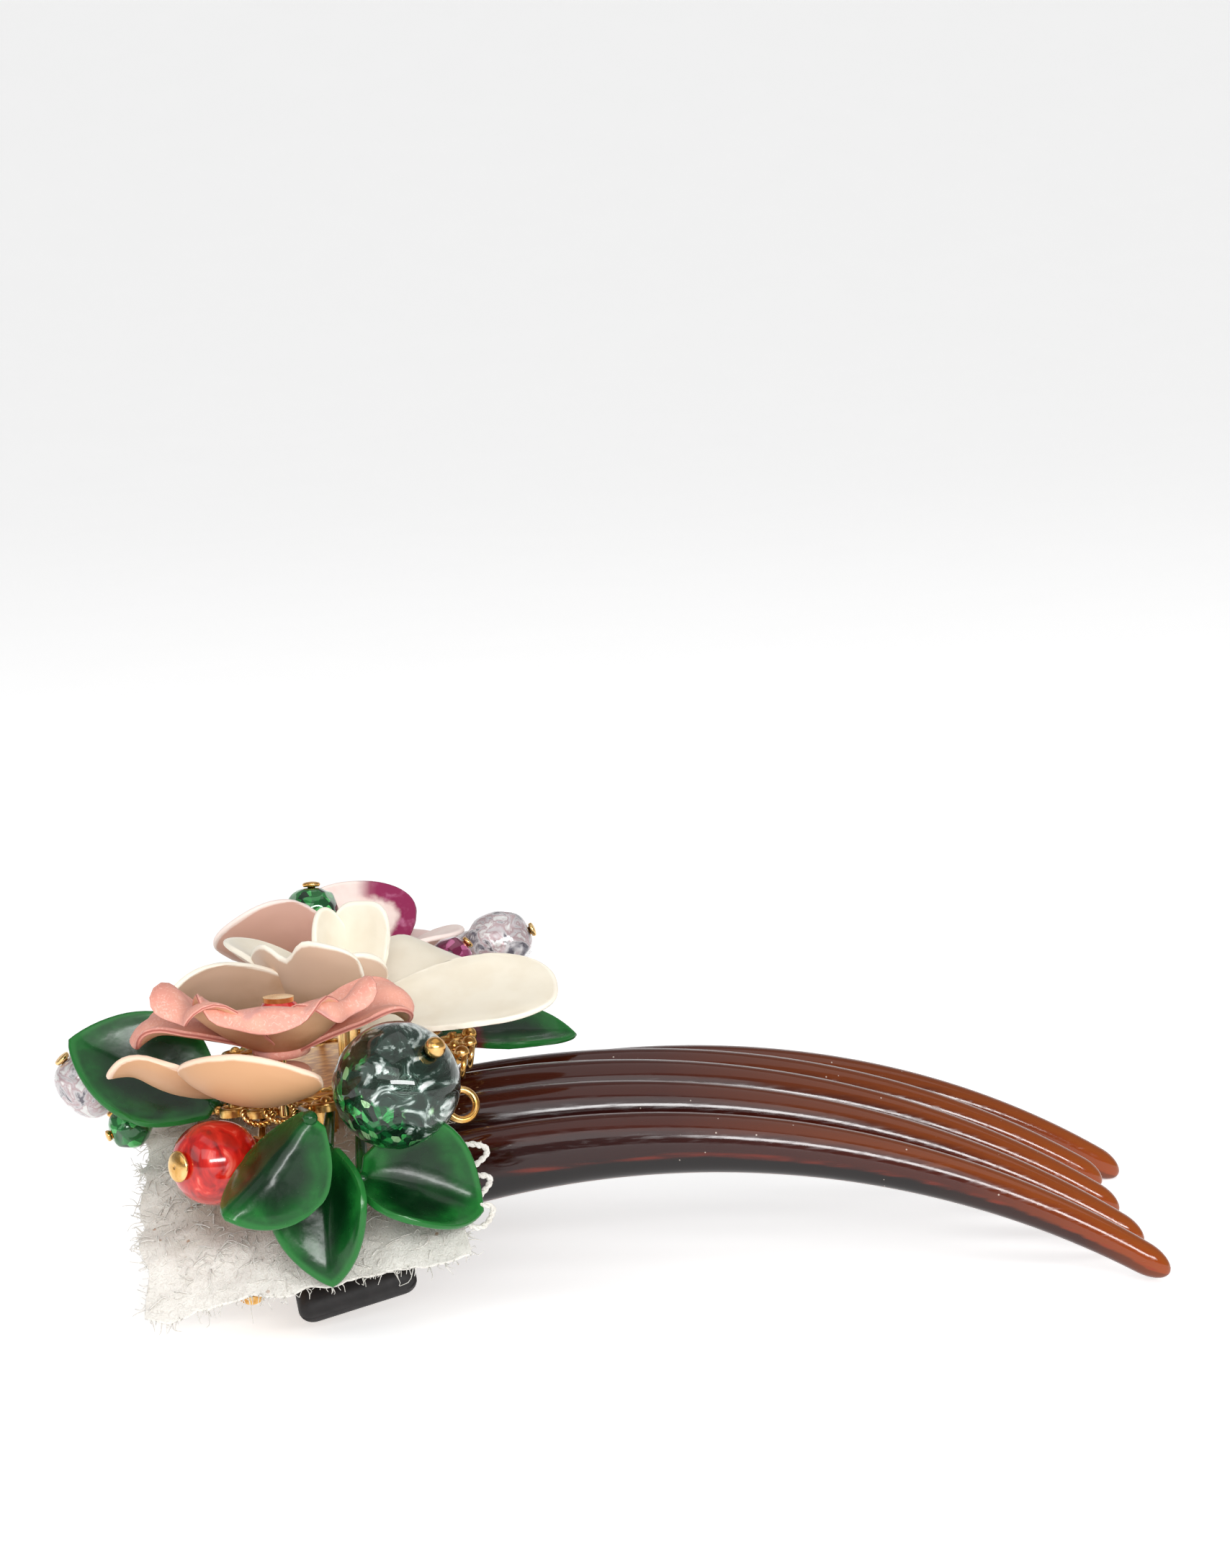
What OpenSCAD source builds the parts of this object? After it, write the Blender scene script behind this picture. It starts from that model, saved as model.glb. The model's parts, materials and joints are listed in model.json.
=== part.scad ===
// Decorative hair comb: a curved five-tooth comb carrying a bouquet of moulded flowers,
// glossy leaves and glass beads on a filigree plate. Millimetres. The teeth point along +X, the
// width of the comb runs along Y and +Z is up, with the comb lying as it does on a table.

/* [Comb] */
// Radius of the long curve of the teeth, at their crest
crest_radius = 101; // [80:1:140]
// Where along X the crest is highest
crest_top_x = 39.7; // [30:0.1:60]
// Height of the crest there
crest_top_z = 21; // [15:0.1:30]
// Where along X the outer teeth end
tooth_tip_x = 100; // [80:1:130]
// Height of a tooth where it leaves the bouquet
tooth_root_h = 8.6; // [5:0.1:12]
// Height of a tooth at its tip
tooth_tip_h = 2.7; // [1.5:0.1:5]
// Width of a tooth at its root
tooth_root_w = 6.2; // [3:0.1:8]
// Width of a tooth at its tip
tooth_tip_w = 2.8; // [1.5:0.1:5]
// Space from one tooth to the next at the root
root_pitch = 7.7; // [6:0.1:14]
// Space from one tooth to the next at the tips
tip_pitch = 12.7; // [8:0.1:20]
// Drop of the outer teeth below the middle one at the root
root_arch = 3.7; // [0:0.1:6]
// Drop of the outer teeth below the middle one at the tips
tip_arch = -0.7; // [-2:0.1:3]

/* [Spine] */
// Radius of the arch across the comb, at the top of the sleeve
saddle_radius = 50; // [40:1:90]
// Slope of the spine, in degrees
saddle_tilt = 15; // [5:1:25]
// Width of the sleeve along the comb
sleeve_w = 12.6; // [8:0.1:20]
// Thickness of the sleeve and the spine in it
sleeve_t = 3.2; // [2:0.1:6]
// Wall of the sleeve
sleeve_wall = 0.6; // [0.3:0.1:1.5]
// Half of the angle that the sleeve's arch spans
sleeve_half_angle = 43; // [30:1:60]

/* [Plates] */
// Thickness of the brass plates
plate_t = 0.6; // [0.4:0.1:2]
// Thickness of the stiffened lace
lace_t = 0.5; // [0.3:0.1:1]
// Half of the upper plate's size along X
upper_half_x = 16; // [10:0.5:24]
// Half of the upper plate's size along Y
upper_half_y = 24; // [15:0.5:40]
// Slope of the upper plate, in degrees
upper_tilt = 5; // [0:1:15]

/* [Beads and pins] */
// Diameter of the head pins
pin_d = 0.9; // [0.6:0.1:1.5]
// Radial running clearance between a bead and its pin
bead_clearance = 0.05; // [0.01:0.01:0.1]
// Gap left at each end of a bead on its pin
end_play = 0.12; // [0.05:0.01:0.5]

/* [Petals and leaves] */
// Thickness of a moulded petal
petal_t = 0.9; // [0.5:0.1:1.5]
// Thickness of a moulded leaf
leaf_t = 1; // [0.5:0.1:2]

/* [Hidden] */
frame_shift = [-42.419, 5.136, 0.614];
root_x = 14.5;
tooth_trims = [0, 1.1, 2.2, 2.6, -0.8];
ring_sides = 12;
tooth_rings = 26;
saddle_top = [12.7, 0, 17.3];
window_half_angle = 28;
plate_r = saddle_radius + plate_t;
lace_r = plate_r + 0.15 + lace_t;
plate_lift = 3;
plate_pivot = 8;
lace_lift = 7;
lace_pivot = 11.5;
upper_at = [12, -2, 21.6];
post_places = [[13, 13], [2, -2], [20, -2], [13, -15]];
post_d = 2.4;
wire_d = 0.8;
wire_angles = [-14.9, -4.9, 4.9, 14.9];
u_steps = 8;
v_steps = 6;

module placed() {
    translate(frame_shift) children();
}

// ---------------------------------------------------------------- comb and spine

function share(x) = (x - root_x) / (tooth_tip_x - root_x);

function crest_z(x) = crest_top_z - crest_radius
    + sqrt(pow(crest_radius, 2) - pow(x - crest_top_x, 2));

function tooth_y(i, x) = (i - 2) * (root_pitch + (tip_pitch - root_pitch) * pow(share(x), 1.1));

function tooth_drop(i, x) = pow((i - 2) / 2, 2) * (root_arch + (tip_arch - root_arch) * share(x));

// A tooth swells out of the spine, then tapers and closes in a round nose.
function swell(s) = s > 0.1 ? 1 : 0.3 + 0.7 * sin(900 * s);

function nose(s) = s < 0.97 ? 1 : sqrt(max(0.03, 1 - pow((s - 0.97) / 0.03, 2)));

function tooth_h(s) = (tooth_root_h + (tooth_tip_h - tooth_root_h) * pow(s, 1.15)) * swell(s);

function tooth_w(s) = tooth_root_w + (tooth_tip_w - tooth_root_w) * s;

function tooth_ring(i, s, tip) = let (
    x = root_x + (tip - root_x) * s,
    z = crest_z(x) - tooth_drop(i, x) - tooth_h(s) / 2 - 0.5 * max(0, 1 - 8 * s),
    slope = -(x - crest_top_x) / crest_radius
) [for (k = [0 : ring_sides - 1]) let (
        a = 360 * (k + 0.5) / ring_sides,
        up = sin(a) * tooth_h(s) * nose(s) / 2
    ) [x - up * slope, tooth_y(i, x) + cos(a) * tooth_w(s) * nose(s) / 2, z + up]];

// Closed rings of points joined one after another, with a flat face at each end.
module swept(rings) {
    n = len(rings[0]);
    last = len(rings) - 1;
    polyhedron(
        points = [for (ring = rings) each ring],
        faces = concat(
            [[for (k = [0 : n - 1]) k]],
            [for (r = [0 : last - 1], k = [0 : n - 1]) each
                [[r * n + k, (r + 1) * n + k, (r + 1) * n + (k + 1) % n],
                 [r * n + k, (r + 1) * n + (k + 1) % n, r * n + (k + 1) % n]]],
            [[for (k = [n - 1 : -1 : 0]) last * n + k]]
        ),
        convexity = 6
    );
}

module tooth(i) {
    tip = tooth_tip_x - tooth_trims[i];
    places = concat(
        [0, 0.02, 0.045, 0.07],
        [for (r = [0 : tooth_rings - 8]) 0.1 + 0.87 * r / (tooth_rings - 8)],
        [0.98, 0.989, 0.996, 1]
    );
    swept([for (s = places) tooth_ring(i, s, tip)]);
}

// The saddle is an arch about the local X axis. Its top is where the sleeve's top is.
module in_saddle() {
    translate(saddle_top) rotate([0, -saddle_tilt, 0]) translate([0, 0, -saddle_radius]) children();
}

// What lies on the saddle touches it at its toothed side and lifts off it towards the back.
module lifted(pivot, angle) {
    in_saddle() translate([pivot, 0, saddle_radius]) rotate([0, angle, 0])
        translate([-pivot, 0, -saddle_radius]) children();
}

// Bends a flat section round the saddle: its width goes inwards from radius r.
module arched(r, from, to, thickness, half_angle, corner = 0) {
    rotate([0, 90, 0]) rotate([0, 0, 180 - half_angle])
        rotate_extrude(angle = 2 * half_angle)
            translate([r - thickness, from]) {
                if (corner > 0) rounded_section(thickness, to - from, corner);
                else square([thickness, to - from]);
            }
}

module rounded_section(width, height, corner) {
    for (x = [corner, width - corner], y = [corner, height - corner]) {
        translate([x, y]) circle(r = corner, $fn = 32);
    }
    translate([corner, 0]) square([width - 2 * corner, height]);
    translate([0, corner]) square([width, height - 2 * corner]);
}

module spine() {
    in_saddle() arched(saddle_radius - sleeve_wall, sleeve_wall - sleeve_w / 2,
        sleeve_w / 2 - sleeve_wall, sleeve_t - 2 * sleeve_wall, sleeve_half_angle - 1);
}

module comb() {
    color([0.2, 0.07, 0.03]) placed() union() {
        for (i = [0 : 4]) tooth(i);
        spine();
    }
}

module spine_sleeve() {
    color([0.03, 0.03, 0.03]) placed() difference() {
        in_saddle() arched(saddle_radius, -sleeve_w / 2, sleeve_w / 2, sleeve_t,
            sleeve_half_angle, 1.3);
        spine();
        in_saddle() arched(saddle_radius + 1, -1.2, sleeve_w, sleeve_t + 2, window_half_angle);
    }
}

// ---------------------------------------------------------------- plates and lace

module base_outline() {
    difference() {
        union() {
            translate([-11, -31]) square([19, 62]);
            for (y = [-28 : 4 : 28], x = [-11, 8]) translate([x, y]) circle(r = 1.85);
            for (x = [-9.5 : 4 : 6.5], y = [-31, 31]) translate([x, y]) circle(r = 1.9);
        }
        for (y = [-25, -18.5, 18.5, 25], x = [-8, -3, 3]) translate([x, y]) circle(r = 1.7);
        for (y = [-9, 0, 9]) translate([-8.5, y]) circle(r = 1.6);
    }
}

module base_plate() {
    color([0.75, 0.55, 0.25]) placed() lifted(plate_pivot, plate_lift) intersection() {
        arched(plate_r, -18, 12, plate_t, 48);
        linear_extrude(height = 60) base_outline();
    }
}

module rod(a, b, d) {
    v = b - a;
    translate(a) rotate([0, acos(v[2] / norm(v)), atan2(v[1], v[0])])
        cylinder(h = norm(v), d = d, $fn = 32);
}

module binding_wires() {
    half = sleeve_w / 2 + wire_d;
    low = saddle_radius - sleeve_t - wire_d;
    color([0.8, 0.6, 0.3]) placed() in_saddle() for (a = wire_angles) rotate([a, 0, 0]) {
        rod([-half, 0, low], [half, 0, low], wire_d);
        for (x = [-half, half]) {
            translate([x, 0, low]) sphere(d = wire_d, $fn = 32);
            rod([x, 0, low], [x, 0, saddle_radius + plate_t / 2], wire_d);
        }
    }
}

module lace_outline() {
    union() {
        translate([-19, -32.5]) square([31, 65]);
        for (y = [-29 : 5.8 : 29], x = [-18.6, 11.6]) translate([x, y]) circle(r = 2.1);
        for (x = [-16 : 5.2 : 10], y = [-32, 32]) translate([x, y]) circle(r = 1.9);
    }
}

module lace_backing() {
    color([0.93, 0.91, 0.86]) placed() difference() {
        lifted(lace_pivot, lace_lift) intersection() {
            arched(lace_r, -28, 18, lace_t, 50);
            linear_extrude(height = 60) lace_outline();
        }
        for (p = post_places) translate([p[0], p[1], 5]) cylinder(h = 30, d = post_d + 0.8);
    }
}

// A few small stiff loops of the lace stand up at its front corner.
module lace_edging() {
    color([0.95, 0.94, 0.9]) placed() lifted(lace_pivot, lace_lift) for (a = [30.5, 25, 19.5]) rotate([a, 0, 0])
        translate([14, 0, lace_r + 1.1]) rotate([70, 0, 15])
            rotate_extrude() translate([1, 0]) circle(d = 0.6);
}

function oval(rx, ry, n) = [for (k = [0 : n - 1]) [rx * cos(360 * k / n), ry * sin(360 * k / n)]];

module upper_outline() {
    rim = oval(upper_half_x - 1.6, upper_half_y - 1.6, 26);
    difference() {
        union() {
            polygon(oval(upper_half_x - 1.4, upper_half_y - 1.4, 52));
            for (p = rim) translate(p) circle(r = 1.6);
        }
        for (p = oval(upper_half_x - 4, upper_half_y - 4, 20)) translate(p) circle(r = 1.1);
        for (p = oval(upper_half_x - 8, upper_half_y - 9, 10)) translate(p) circle(r = 1.9);
    }
}

module in_upper() {
    translate(upper_at) rotate([0, -upper_tilt, 0]) children();
}

module upper_filigree() {
    color([0.75, 0.55, 0.25]) placed() in_upper() linear_extrude(height = plate_t) upper_outline();
}

// Height of the middle of the upper plate at a place in plan.
function upper_z(x) = upper_at[2] + plate_t / 2 + (x - upper_at[0]) * tan(upper_tilt);

// The posts stand on the base plate and stop under the upper one.
module support_posts() {
    color([0.7, 0.5, 0.22]) placed() difference() {
        for (p = post_places) translate([p[0], p[1], 3]) cylinder(h = 24, d = post_d);
        lifted(plate_pivot, plate_lift) arched(plate_r, -40, 40, plate_r - 10, 60);
        in_upper() translate([-40, -40, 0]) cube([80, 80, 20]);
    }
}

// ---------------------------------------------------------------- petals and leaves

// A blade is a sheet that grows along X from the origin. Its row is [length, width, bend in
// degrees, cup, fold, place of the greatest width, width at the base, roundness of the tip].
function half_width(b, u) = b[1] / 2 * (u < b[5]
    ? b[6] + (1 - b[6]) * sin(90 * u / b[5])
    : pow(max(0, 1 - pow((u - b[5]) / (1 - b[5]), 2)), b[7]));

function along_blade(b, u) = abs(b[2]) < 1
    ? [b[0] * u, 0]
    : let (r = b[0] * 180 / PI / b[2]) [r * sin(b[2] * u), r * (1 - cos(b[2] * u))];

// The cup raises the two sides in a round trough, the fold in a sharp one.
function blade_point(b, u, v) = let (
    w = half_width(b, u),
    c = along_blade(b, u),
    rise = w * (b[3] * v * v + b[4] * abs(v)),
    a = b[2] * u
) [c[0] - rise * sin(a), v * w, c[1] + rise * cos(a)];

function blade_normal(b, u, v) = let (
    e = 0.02,
    du = blade_point(b, min(u + e, 0.985), v) - blade_point(b, max(u - e, 0), v),
    dv = blade_point(b, u, v + e) - blade_point(b, u, v - e),
    n = cross(du, dv)
) n / norm(n);

function blade_places() = [for (i = [0 : u_steps]) 0.985 * (1 - pow(1 - i / u_steps, 1.5))];

module blade(b, thickness) {
    us = blade_places();
    vs = [for (j = [0 : v_steps]) 2 * j / v_steps - 1];
    n = v_steps + 1;
    top = [for (u = us, v = vs) blade_point(b, u, v) + blade_normal(b, u, v) * thickness / 2];
    low = [for (u = us, v = vs) blade_point(b, u, v) - blade_normal(b, u, v) * thickness / 2];
    k = len(top);
    border = concat(
        [for (j = [0 : v_steps]) j],
        [for (i = [1 : u_steps]) i * n + v_steps],
        [for (j = [v_steps - 1 : -1 : 0]) u_steps * n + j],
        [for (i = [u_steps - 1 : -1 : 1]) i * n]
    );
    m = len(border);
    polyhedron(
        points = concat(top, low),
        faces = concat(
            [for (i = [0 : u_steps - 1], j = [0 : v_steps - 1]) each
                [[i * n + j, i * n + j + 1, (i + 1) * n + j],
                 [i * n + j + 1, (i + 1) * n + j + 1, (i + 1) * n + j]]],
            [for (i = [0 : u_steps - 1], j = [0 : v_steps - 1]) each
                [[k + i * n + j, k + (i + 1) * n + j, k + i * n + j + 1],
                 [k + i * n + j + 1, k + (i + 1) * n + j, k + (i + 1) * n + j + 1]]],
            [for (s = [0 : m - 1]) each
                [[border[s], k + border[s], border[(s + 1) % m]],
                 [border[(s + 1) % m], k + border[s], k + border[(s + 1) % m]]]]
        ),
        convexity = 6
    );
}

// Petal rows: [azimuth, elevation, roll, blade]. A petal starts near the flower's axis.
function petal_blade(length, width, bend, cup) = [length, width, bend, cup, 0, 0.62, 0.42, 0.5];

module aimed(azimuth, elevation, roll) {
    rotate([0, -elevation, azimuth]) rotate([roll, 0, 0]) children();
}

module flower(petals, disc_d) {
    cylinder(h = 1, d = disc_d);
    for (p = petals) {
        rotate([0, 0, p[0]]) translate([1.7, 0, 0.55]) aimed(0, p[1], p[2]) blade(p[3], petal_t);
    }
}

// A flower whose pin is straight up needs a slot for it, because the flower itself leans.
module pierced() {
    difference() {
        children();
        translate([0, 0, -3]) cylinder(h = 8, d = pin_d + 1.2);
    }
}

cream_at = [15.2, -7.5, 27.5];
cream_petals = [
    [-5, 18, 38, petal_blade(21.5, 13.5, -18, 0.12)],
    [42, 36, 20, petal_blade(15, 10, -22, 0.1)],
    [82, 66, 0, petal_blade(13.5, 8, 12, 0.12)],
    [122, 74, 20, petal_blade(13, 6.5, 6, 0.2)],
    [158, 44, -20, petal_blade(14, 9.5, -12, 0.15)],
    [192, 30, -38, petal_blade(19.5, 12, -42, 0.12)],
    [248, 38, 0, petal_blade(10.5, 12.5, 42, 0.3)],
    [305, 34, 0, petal_blade(7.5, 7, 40, 0.3)],
];

coral_at = [9.5, -26, 25.6];
coral_upper_petals = [
    [4, 36, 12, petal_blade(14, 9.5, -30, 0.15)],
    [-54, 34, 0, petal_blade(11, 9, -36, 0.15)],
    [-96, 30, 0, petal_blade(12, 10.5, -38, 0.15)],
    [-140, 28, 0, petal_blade(12.5, 9.5, -36, 0.15)],
    [178, 25, 0, petal_blade(14.5, 9, -34, 0.15)],
];
coral_lower_petals = [
    [-106, -2, 0, petal_blade(12.5, 14, 42, 0.25)],
    [198, -4, -10, petal_blade(15, 10.5, 4, 0.25)],
];

blush_at = [14.4, 19.5, 27.5];
blush_petals = [
    [-90, 22, 0, petal_blade(8, 10, -20, 0.2)],
    [-14, 32, 0, petal_blade(12.5, 9, -14, 0.2)],
    [36, 30, 0, petal_blade(12, 10, -30, 0.2)],
    [88, 50, 0, petal_blade(13.5, 13, 22, 0.2)],
    [142, 36, 0, petal_blade(14, 11, -20, 0.2)],
    [204, 46, -15, petal_blade(15.5, 12, -8, 0.2)],
];

module cream_flower() {
    color([0.95, 0.92, 0.82]) placed() translate(cream_at) flower(cream_petals, 6);
}

module coral_flower_upper() {
    color([0.93, 0.66, 0.58]) placed() translate(coral_at + [0, 0, 2.8]) rotate([8, 0, 0])
        pierced() flower(coral_upper_petals, 6);
}

module coral_flower_lower() {
    color([0.86, 0.7, 0.55]) placed() translate(coral_at) rotate([8, 0, 0])
        pierced() flower(coral_lower_petals, 6);
}

module blush_flower() {
    color([0.94, 0.8, 0.76]) placed() difference() {
        translate(blush_at) flower(blush_petals, 9);
        pin_space(green_back);
    }
}

// A rivet stands on the upper plate and carries a flower, with a domed head on top of it.
module flower_rivet(at, head_d) {
    low = upper_z(at[0]);
    translate([at[0], at[1], low]) cylinder(h = at[2] - low, d = 2.2);
    translate(at + [0, 0, 1]) intersection() {
        translate([0, 0, -head_d * 0.3]) sphere(d = head_d * 1.2);
        cylinder(h = head_d, d = head_d);
    }
}

module cream_flower_rivet() {
    color([0.8, 0.6, 0.3]) placed() flower_rivet(cream_at, 2.4);
}

module blush_flower_rivet() {
    color([0.8, 0.6, 0.3]) placed() flower_rivet(blush_at, 2.2);
}

// Leaf rows: [base, azimuth, elevation, roll, blade, stem's other end].
function leaf_blade(length, width, bend, cup, fold) =
    [length, width, bend, cup, fold, 0.42, 0.3, 0.8];

front_left_leaf = [[13.2, -39.6, 23.6], 201, -54, -62, leaf_blade(15, 12, 10, 0, -0.24), [10.6, -23, 21.6]];
front_middle_leaf = [[14, -33, 19], -92, -64, 12, leaf_blade(13.4, 10, -14, 0.3, 0.25), [14, -23, 21.6]];
front_right_leaf = [[17.5, -33.4, 14.9], -12, -18, 48, leaf_blade(13, 11.5, -18, 0.25, 0.2), [16.9, -21.4, 21.9]];
side_left_leaf = [[1.5, -18, 21.6], 172, 24, -50, leaf_blade(16.5, 13, 8, 0.1, 0.3), [3, -16, 21]];
back_right_leaf = [[25, 6, 23.2], 8, 2, 28, leaf_blade(14.5, 8, -12, 0.1, 0.25), [22.6, 2, 22.7]];
back_left_leaf = [[3, 17, 23], 140, 4, 0, leaf_blade(14, 10, -15, 0.1, 0.3), [5, 14, 21.2]];

module leaf(row) {
    translate(row[0]) aimed(row[1], row[2], row[3]) blade(row[4], leaf_t);
    rod(row[0], row[5], 1.1);
    translate(row[0]) sphere(d = 1.5, $fn = 24);
}

module green_leaf(row) {
    color([0.05, 0.3, 0.12]) placed() leaf(row);
}

// ---------------------------------------------------------------- beads on head pins

// Rows: [centre, [azimuth, elevation] of the pin, diameter, length, head diameter, tail, anchor].
crackle = [[21.4, -32, 25.4], [-39, 38], 12.8, 12.4, 2.2, 7.4, [15.5, -23, 22.1]];
coral = [[2.8, -33.2, 18.6], [-139, 5], 8.6, 8.8, 3.2, 5.6, [7, -22.5, 21.4]];
clear_side = [[-12.4, -11.5, 23.2], [190, 50], 6.2, 7.4, 1.8, 4.6, [-1.8, -8, 20.6]];
green_side = [[-7.8, -14.5, 19], [200, -15], 4.6, 4.6, 1.2, 3, [-1.2, -10.5, 20.6]];
green_back = [[10.4, 17.6, 36], [90, 84], 6.2, 6, 2, 8, [10.4, 16.7, 21.7]];
fuchsia_back = [[26, 10, 31.4], [10, 40], 4.6, 4.6, 1.4, 4, [20.5, 8, 22.5]];
clear_back = [[31, 17, 31.6], [0, 20], 7.2, 8, 1.6, 5.4, [23, 10.5, 22.8]];
crystal_back = [[27.6, 27, 28.4], [40, 30], 6.4, 6.4, 1.4, 4.4, [19.5, 14.5, 22.5]];

module along(row) {
    translate(row[0]) rotate([0, 0, row[1][0]]) rotate([0, 90 - row[1][1], 0]) children();
}

module bead(row) {
    along(row) difference() {
        rounded_bead(row[2], row[3]);
        translate([0, 0, -row[3]]) cylinder(h = 2 * row[3], d = pin_d + 2 * bead_clearance);
    }
}

// A ball cut flat at the ends, where the pin goes in.
module rounded_bead(d, length) {
    intersection() {
        sphere(d = max(d, length));
        translate([0, 0, -length / 2 + 0.1]) cylinder(h = length - 0.2, d = d);
    }
}

function pin_direction(row) = [
    cos(row[1][0]) * cos(row[1][1]), sin(row[1][0]) * cos(row[1][1]), sin(row[1][1])];

// The pin has a head outside the bead and a coiled collar inside it, then turns to its anchor.
// elbow_turn tips the ball at the bend, in degrees about X.
module head_pin(row, elbow_turn = 0) {
    reach = row[3] / 2 - 0.1 + end_play;
    tail_end = row[0] - row[5] * pin_direction(row);
    along(row) {
        translate([0, 0, -row[5]]) cylinder(h = row[5] + reach, d = pin_d);
        translate([0, 0, reach]) cylinder(h = 0.5, d = row[4]);
        translate([0, 0, -reach - 0.6]) cylinder(h = 0.6, d = pin_d + 0.9);
    }
    translate(tail_end) rotate([elbow_turn, 0, 0]) sphere(d = pin_d + 0.2, $fn = 32);
    rod(tail_end, row[6], pin_d - 0.06);
}

module pin_space(row) {
    tail_end = row[0] - row[5] * pin_direction(row);
    along(row) translate([0, 0, -row[5]]) cylinder(h = row[5], d = pin_d + 0.4);
    translate(tail_end) sphere(d = pin_d + 0.6);
    rod(tail_end, row[6], pin_d + 0.36);
}

module gold_pin(row, elbow_turn = 0) {
    color([0.85, 0.65, 0.35]) placed() head_pin(row, elbow_turn);
}

// The coral bead also sits in a ring-shaped cap on its inner side.
module coral_cap() {
    color([0.8, 0.6, 0.3]) placed() along(coral) translate([0, 0, -coral[3] / 2 - 0.6])
        difference() {
            cylinder(h = 0.5, d = 4.6);
            translate([0, 0, -1]) cylinder(h = 3, d = pin_d + 1.4);
        }
}

coral_flower_bead_at = coral_at + [0, 0, 6.2];

module coral_flower_bead() {
    color([0.8, 0.1, 0.08]) placed() difference() {
        translate(coral_flower_bead_at) rounded_bead(4.8, 3.8);
        translate(coral_flower_bead_at - [0, 0, 5]) cylinder(h = 10, d = pin_d);
    }
}

module coral_flower_pin() {
    low = upper_z(coral_at[0]);
    color([0.85, 0.65, 0.35]) placed() {
        translate([coral_flower_bead_at[0], coral_flower_bead_at[1], low])
            cylinder(h = coral_flower_bead_at[2] + 1.8 - low, d = pin_d);
        translate(coral_flower_bead_at + [0, 0, 1.8]) cylinder(h = 0.5, d = 3.2);
    }
}

// ---------------------------------------------------------------- small wire pieces

twist_at = [9.4, -30.4, 23];

module twisted_wire() {
    color([0.8, 0.6, 0.3]) placed() for (k = [0 : 1])
        translate(twist_at + [-2.3 * k, 0.4 * k, -0.25 * k]) rotate([35, 0, 20])
            rotate_extrude() translate([1.5, 0]) circle(d = 0.7, $fn = 16);
}

module jump_ring() {
    color([0.85, 0.65, 0.35]) placed() translate([27.4, -19.5, 20.6]) rotate([70, 0, 20])
        rotate_extrude() translate([1.6, 0]) circle(d = 0.8, $fn = 24);
}

comb();
spine_sleeve();
base_plate();
binding_wires();
lace_backing();
lace_edging();
upper_filigree();
support_posts();
cream_flower();
cream_flower_rivet();
coral_flower_upper();
coral_flower_lower();
coral_flower_bead();
coral_flower_pin();
blush_flower();
blush_flower_rivet();
green_leaf(front_left_leaf);  // leaf_front_left
green_leaf(front_middle_leaf);  // leaf_front_middle
green_leaf(front_right_leaf);  // leaf_front_right
green_leaf(side_left_leaf);  // leaf_side_left
green_leaf(back_right_leaf);  // leaf_back_right
green_leaf(back_left_leaf);  // leaf_back_left
color([0.1, 0.4, 0.2]) placed() bead(crackle);  // crackle_bead
gold_pin(crackle);  // crackle_pin
color([0.8, 0.1, 0.08]) placed() bead(coral);  // coral_bead
gold_pin(coral);  // coral_pin
coral_cap();
color([0.9, 0.9, 0.9]) placed() bead(clear_side);  // clear_side_bead
gold_pin(clear_side);  // clear_side_pin
color([0.1, 0.4, 0.2]) placed() bead(green_side);  // green_side_bead
gold_pin(green_side);  // green_side_pin
color([0.1, 0.4, 0.2]) placed() bead(green_back);  // green_back_bead
gold_pin(green_back);  // green_back_pin
color([0.6, 0.1, 0.35]) placed() bead(fuchsia_back);  // fuchsia_bead
gold_pin(fuchsia_back);  // fuchsia_pin
color([0.9, 0.9, 0.9]) placed() bead(clear_back);  // clear_back_bead
gold_pin(clear_back);  // clear_back_pin
color([0.9, 0.85, 0.9]) placed() bead(crystal_back);  // crystal_back_bead
gold_pin(crystal_back, elbow_turn = 90);  // crystal_back_pin
twisted_wire();
jump_ring();
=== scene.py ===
"""Looks for the decorative hair comb: moulded flowers and leaves, glass beads on head pins,
stiff lace and filigree on a five-tooth tortoiseshell comb.

Shapes are worked out in millimetres, in the drawing's own axes: the teeth point along +X, the
width of the comb runs along Y, and +Z is up. to_row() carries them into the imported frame."""

import json
import math
import random
from dataclasses import dataclass

import bmesh
import bpy
import numpy as np
from mathutils import Matrix, Vector, noise


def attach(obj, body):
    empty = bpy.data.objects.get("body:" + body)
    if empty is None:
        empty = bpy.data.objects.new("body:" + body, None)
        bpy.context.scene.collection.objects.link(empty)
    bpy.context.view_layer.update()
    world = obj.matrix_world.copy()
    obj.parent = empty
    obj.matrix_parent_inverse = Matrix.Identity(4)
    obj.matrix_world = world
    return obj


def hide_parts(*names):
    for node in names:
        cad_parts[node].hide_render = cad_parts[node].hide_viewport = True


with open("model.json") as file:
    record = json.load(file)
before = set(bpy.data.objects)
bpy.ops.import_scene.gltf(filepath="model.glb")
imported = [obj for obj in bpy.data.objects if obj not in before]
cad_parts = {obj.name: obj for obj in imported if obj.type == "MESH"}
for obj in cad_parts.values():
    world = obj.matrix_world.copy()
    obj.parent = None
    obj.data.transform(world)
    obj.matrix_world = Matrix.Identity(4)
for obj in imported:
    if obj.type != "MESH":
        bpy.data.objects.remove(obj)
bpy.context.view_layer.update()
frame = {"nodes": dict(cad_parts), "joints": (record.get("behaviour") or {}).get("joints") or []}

MM = 0.001
ROOT = "comb_body"


def joint_place(name):
    joint = next(j for j in frame["joints"] if j["name"] == name)
    return np.array(joint["pos_m"])


# ---------------------------------------------------------------- sizes and places

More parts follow.
